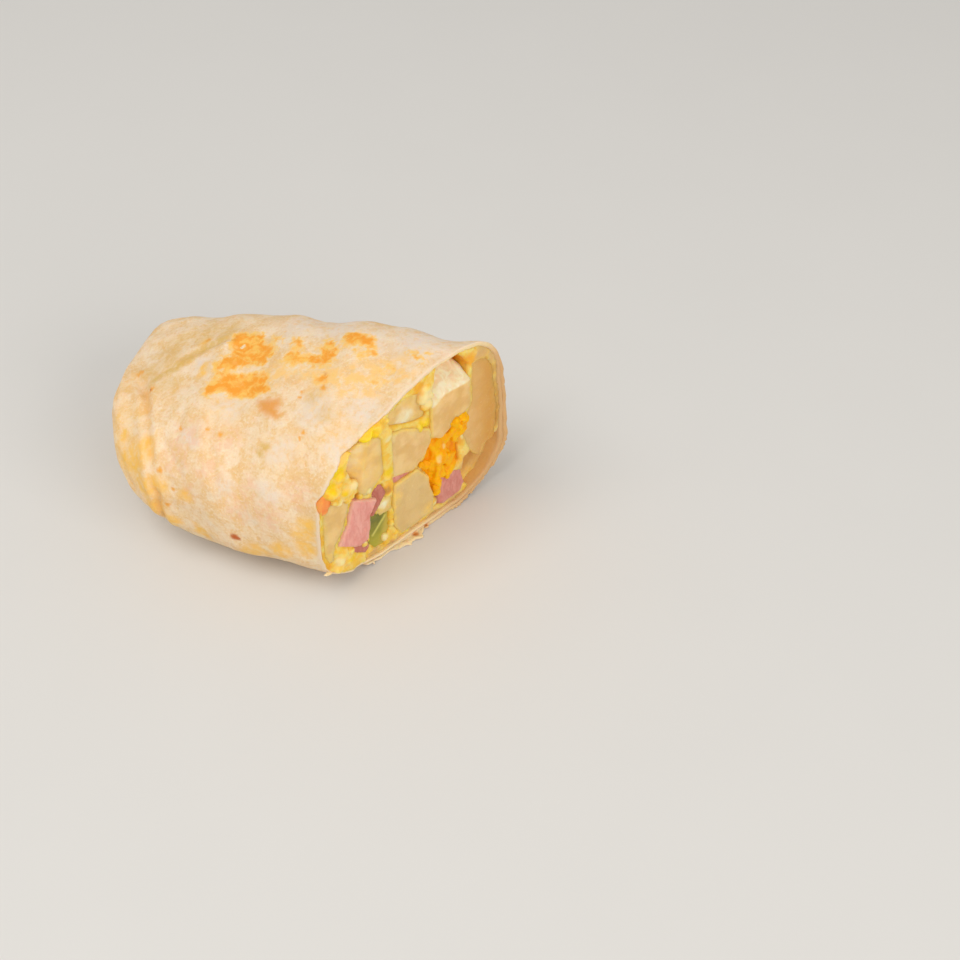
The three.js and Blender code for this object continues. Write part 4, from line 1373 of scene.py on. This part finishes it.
def carved_front(dice):
    """The egg near the cut, with room for the pieces in it and where it has settled."""
    core = core_mesh("egg_filling", EGG.front, EGG.into_wall)
    front = combined(core, prism(SQUARE, (-EGG.back, 9)), "INTERSECT")
    for node in (*dice, "cheddar"):
        for step in (0, 4):  # once where it is, and once further out, so that no egg covers it
            combined(front, shifted(piece_solid(node, "carver"), step * CUT_OUT), "DIFFERENCE")
    for outline, depth in HOLLOWS:
        combined(front, prism(outline, (-depth, 5)), "DIFFERENCE")
    return front


def curd_lumps(front, random):
    """Curds, narrow fillings and scattered crumbs that lie on the egg's face."""
    lumps = [lump(*curd, random, UNEVEN) for curd in CURDS]
    lumps += [prism(BESIDE_WALL, (-8, EGG.front)), prism(SEAM, (-6, SEAM_FRONT))]
    while len(lumps) < len(CURDS) + EGG.crumbs:
        *middle, radius = CRUMBLY[random.integers(len(CRUMBLY))]
        u, v = random.normal(middle, radius / 2)
        start = from_cut(u, v, 20.0)
        hit, place, *_ = front.ray_cast((start * MM).tolist(), (-CUT_OUT).tolist())
        if hit and to_cut(np.array(place) / MM)[2] > EGG.deepest_crumb:
            n = random.uniform(-0.8, 0.2)
            lumps.append(lump(u, v, n, random.uniform(*EGG.crumb_size), random))
    return lumps


def dress_egg(material, dice):
    front = carved_front(dice)
    lumps = curd_lumps(front, np.random.default_rng(EGG.seed))
    front = smoothed(remeshed(gathered([front, *lumps], "egg_filling"), EGG.voxel), 2)
    points, normals = points_of(front), normals_of(front)
    u, v, n = to_cut(points)
    near_front = smooth((n + 9) / 4) * (1 - 0.8 * face_spots(u, v, SEAM_PARTS))
    curds = EGG.curd[1] * (0.62 - nearest_grain(points, EGG.curd[0], 21))
    fine = EGG.grain[1] * (0.6 - nearest_grain(points, EGG.grain[0], 25))
    place_points(front, points + normals * (EGG.swell + near_front * (curds + fine))[:, None])
    smoothed(front, 1)
    combined(front, core_mesh("room", *EGG.room), "INTERSECT")
    slab = prism(SQUARE, (EGG.overlap - EGG.back, 20))
    combined(front, combined(copy_of("egg", "egg_back"), slab, "DIFFERENCE"), "UNION")
    main_body(front)
    u, v, n = bent_to_cut(points_of(front), 1.5, 0.6)
    yolk = face_spots(u, v, YOLK)
    # Painted shade: the egg turns deeper orange in its crevices, in the deep spots and where it lies
    # far behind the cut.
    crevice = EGG.crevice * smooth((0.8 - normals_of(front) @ CUT_OUT) / 0.5)
    deep = largest(face_spots(u, v, DEEP_SHADE), crevice, smooth((-n - 2.5) / 4))
    mark(
        front,
        yolk=yolk,
        white=face_spots(u, v, WHITE),
        deep=deep * (1 - 0.8 * yolk),
        tan=face_spots(u, v, TAN, 1.3),
        brown_shade=0.9 * face_spots(u, v, GAP_SHADE, 1.1),
    )
    shade(front, material, "egg")


# ---------------------------------------------------------------- cheddar
SHREDS = Sizes(
    count=34,
    length=(4.5, 8.0),
    width=(1.0, 1.5),
    thickness=0.85,
    rings=9,
    around=10,
    voxel=0.28,
    seed=14,
)
# The clump's middle line, as [u, v, half width], from top to foot.
CLUMP_LINE = (
    (15.4, 34.4, 3.4), (14.2, 32.6, 3.8), (11.6, 30.6, 4.8), (8.6, 27.4, 5.2), (9.2, 23.4, 5.4),
    (9.6, 19.4, 3.8), (6.2, 13.4, 0.5),
)
# Softer lumps at the ends of its branches, as [u, v, n, radius].
MELTED = (
    (13.4, 36.4, 0.2, 1.7), (16.2, 36.2, 0.2, 1.8), (18.0, 34.2, 0.1, 1.5), (14.8, 34.0, 0.4, 2.0),
    (17.2, 31.4, 0.1, 1.5), (0.6, 27.8, 0.5, 1.0), (2.4, 26.6, 0.4, 1.4), (6.1, 17.8, 0.3, 1.5),
    (5.9, 14.8, 0.2, 1.2), (5.6, 12.4, 0.2, 0.8),
)
# Painted highlights on the clump.
HIGHLIGHT_BITS = ((7, 26.4, 0.9), (9.6, 29, 0.6))  # as [u, v, radius]


def shred(middle, along, sideways, length, width, bend):
    """A curved strip with rounded ends."""
    out = np.cross(along, sideways)
    turn = np.linspace(0, TAU, SHREDS.around, endpoint=False)
    rings = []
    for t in np.linspace(-1, 1, SHREDS.rings + 2)[1:-1]:
        centre = middle + along * (length / 2 * t) + sideways * (bend * t * t)
        fullness = (1 - abs(t) ** 3.5) ** 0.5
        across = width * fullness * signed_power(np.cos(turn), 0.7)
        thick = SHREDS.thickness * fullness * signed_power(np.sin(turn), 0.7)
        rings.append(centre + across[:, None] * sideways + thick[:, None] * out)
    ends = [middle + along * (length / 2 * t) + sideways * bend for t in (-1, 1)]
    return tube_object("shred", np.array(rings), *ends)


def clump_shreds(random):
    """Shreds along the clump's middle line, each leaning its own way."""
    line = np.array(CLUMP_LINE)
    strips = []
    for share in np.linspace(0, 1, SHREDS.count) * (len(line) - 1):
        u, v, half = [np.interp(share, range(len(line)), line[:, k]) for k in range(3)]
        lean = random.normal(0.15, 0.65)
        tilt = random.uniform(-0.35, 0.35)
        upright = math.sin(lean) * CUT_ACROSS + math.cos(lean) * CUT_UP
        along = math.cos(tilt) * upright + math.sin(tilt) * CUT_OUT
        sideways = np.cross(CUT_OUT, along)
        sideways /= np.linalg.norm(sideways)
        middle = from_cut(u + half * random.uniform(-0.85, 0.85), v, random.uniform(-1.1, 0.8))
        length = random.uniform(*SHREDS.length) * min(1, 0.5 + half / 5)
        width = random.uniform(*SHREDS.width)
        strips.append(shred(middle, along, sideways, length, width, random.uniform(-1, 1)))
    return strips


def dress_cheddar(material):
    random = np.random.default_rng(SHREDS.seed)
    strips = clump_shreds(random)
    strips += [lump(*one, random, UNEVEN) for one in MELTED]
    strips.insert(0, copy_of("cheddar", "core"))
    piece = smoothed(remeshed(gathered(strips, "cheddar_shreds"), SHREDS.voxel), 1)
    points, normals = points_of(piece), normals_of(piece)
    points = points + normals * (0.12 * rough_noise(points, 1.3, 3, 12))[:, None]
    place_points(piece, points)
    u, v, n = bent_to_cut(points, 1.2, 0.4)
    # Painted shade: deeper orange further behind the cut face; the pale bits are painted highlights.
    mark(piece, pale=face_spots(u, v, HIGHLIGHT_BITS), deep=smooth((-0.5 - n) / 1.4))
    shade(piece, material, "cheddar")


# ---------------------------------------------------------------- putting it together
wrap = combined(shell_mesh(), flap_mesh(), "UNION")
tortilla = main_body(combined(wrap, torn_bits(), "UNION"))
tortilla.name = "tortilla_wrap"
mark_tortilla(tortilla)
shade(tortilla, tortilla_material(), "tortilla")
dice = [node for node in sorted(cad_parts) if node.startswith(("potato", "ham", "pepper"))]
dress_egg(egg_material(), dice)
dress_cheddar(cheddar_material())
potato = potato_material()
ham = ham_material()
green_pepper = pepper_material(
    "pepper_green",
    (114, 114, 24),
    (140, 136, 34),
    lime=(186, 176, 44),
    olive=(196, 174, 66),
    vein=(208, 200, 96),
)
orange_pepper = pepper_material("pepper_orange", (250, 136, 52), (253, 162, 76))
for node in dice:
    if node.startswith("potato"):
        rounds = 1 if node == "potato_small" else 3
        dress_piece(node, rounds, (3.0, 0.12), 0.35, potato)
    if node.startswith("ham"):
        dress_piece(node, 2, (1.6, 0.10), 0.15, ham)
dress_piece("pepper_green", 3, (3.0, 0.1), 0.2, green_pepper)
dress_piece("pepper_orange", 2, (2.0, 0.15), 0.3, orange_pepper)

# ---------------------------------------------------------------- stage, light and camera
FLOOR_HALF = 1500  # how far the floor reaches each way
NEAR_WHITE = (1.0, 0.985, 0.965)
LOOK_AT = Vector((0, 0, 0.03))  # what the lights point at, in metres like their places
# Fitted to the photo: a place in millimetres, and the axes of the view.
CAMERA = Sizes(
    place=(161.39, -269.99, 327.58),
    right=(0.93679, 0.34988, 0.0),
    up=(-0.25189, 0.67444, 0.69403),
    back=(0.24283, -0.65016, 0.71995),
    lens=56.25,
    sensor=36,
)


def stage_floor():
    corners = [(x * FLOOR_HALF, y * FLOOR_HALF, 0) for x, y in ((-1, -1), (1, -1), (1, 1), (-1, 1))]
    floor = object_from("floor", corners, ((0, 1, 2, 3),))
    look = Surface("floor", 0.45, 0.3)
    look.base(look.noise(40), (219, 217, 213), (221, 219, 215))
    floor.data.materials.append(look.finished())


def area_light(name, place, power, colour):
    light = bpy.data.lights.new(name, "AREA")
    light.size = 0.8
    light.energy = power
    light.color = colour
    made = linked(name, light)
    made.location = place
    made.rotation_euler = (LOOK_AT - Vector(place)).to_track_quat("-Z", "Y").to_euler()


def light_scene():
    area_light("key", (-0.32, -0.42, 1.05), 6.3, (1.0, 0.985, 0.96))
    area_light("fill", (0.95, -0.45, 0.55), 5.4, NEAR_WHITE)
    world = bpy.data.worlds.new("studio")
    world.use_nodes = True
    background = world.node_tree.nodes["Background"]
    background.inputs["Color"].default_value = (*NEAR_WHITE, 1.0)
    background.inputs["Strength"].default_value = 0.5
    bpy.context.scene.world = world
    bpy.context.scene.view_settings.view_transform = "Standard"


def add_camera():
    data = bpy.data.cameras.new("camera")
    data.lens = CAMERA.lens
    data.sensor_width = CAMERA.sensor
    data.clip_start = 0.01
    camera = linked("camera", data)
    turn = Matrix((CAMERA.right, CAMERA.up, CAMERA.back)).transposed().to_4x4()
    camera.matrix_world = Matrix.Translation(Vector(CAMERA.place) * MM) @ turn
    bpy.context.scene.camera = camera


stage_floor()
light_scene()
add_camera()
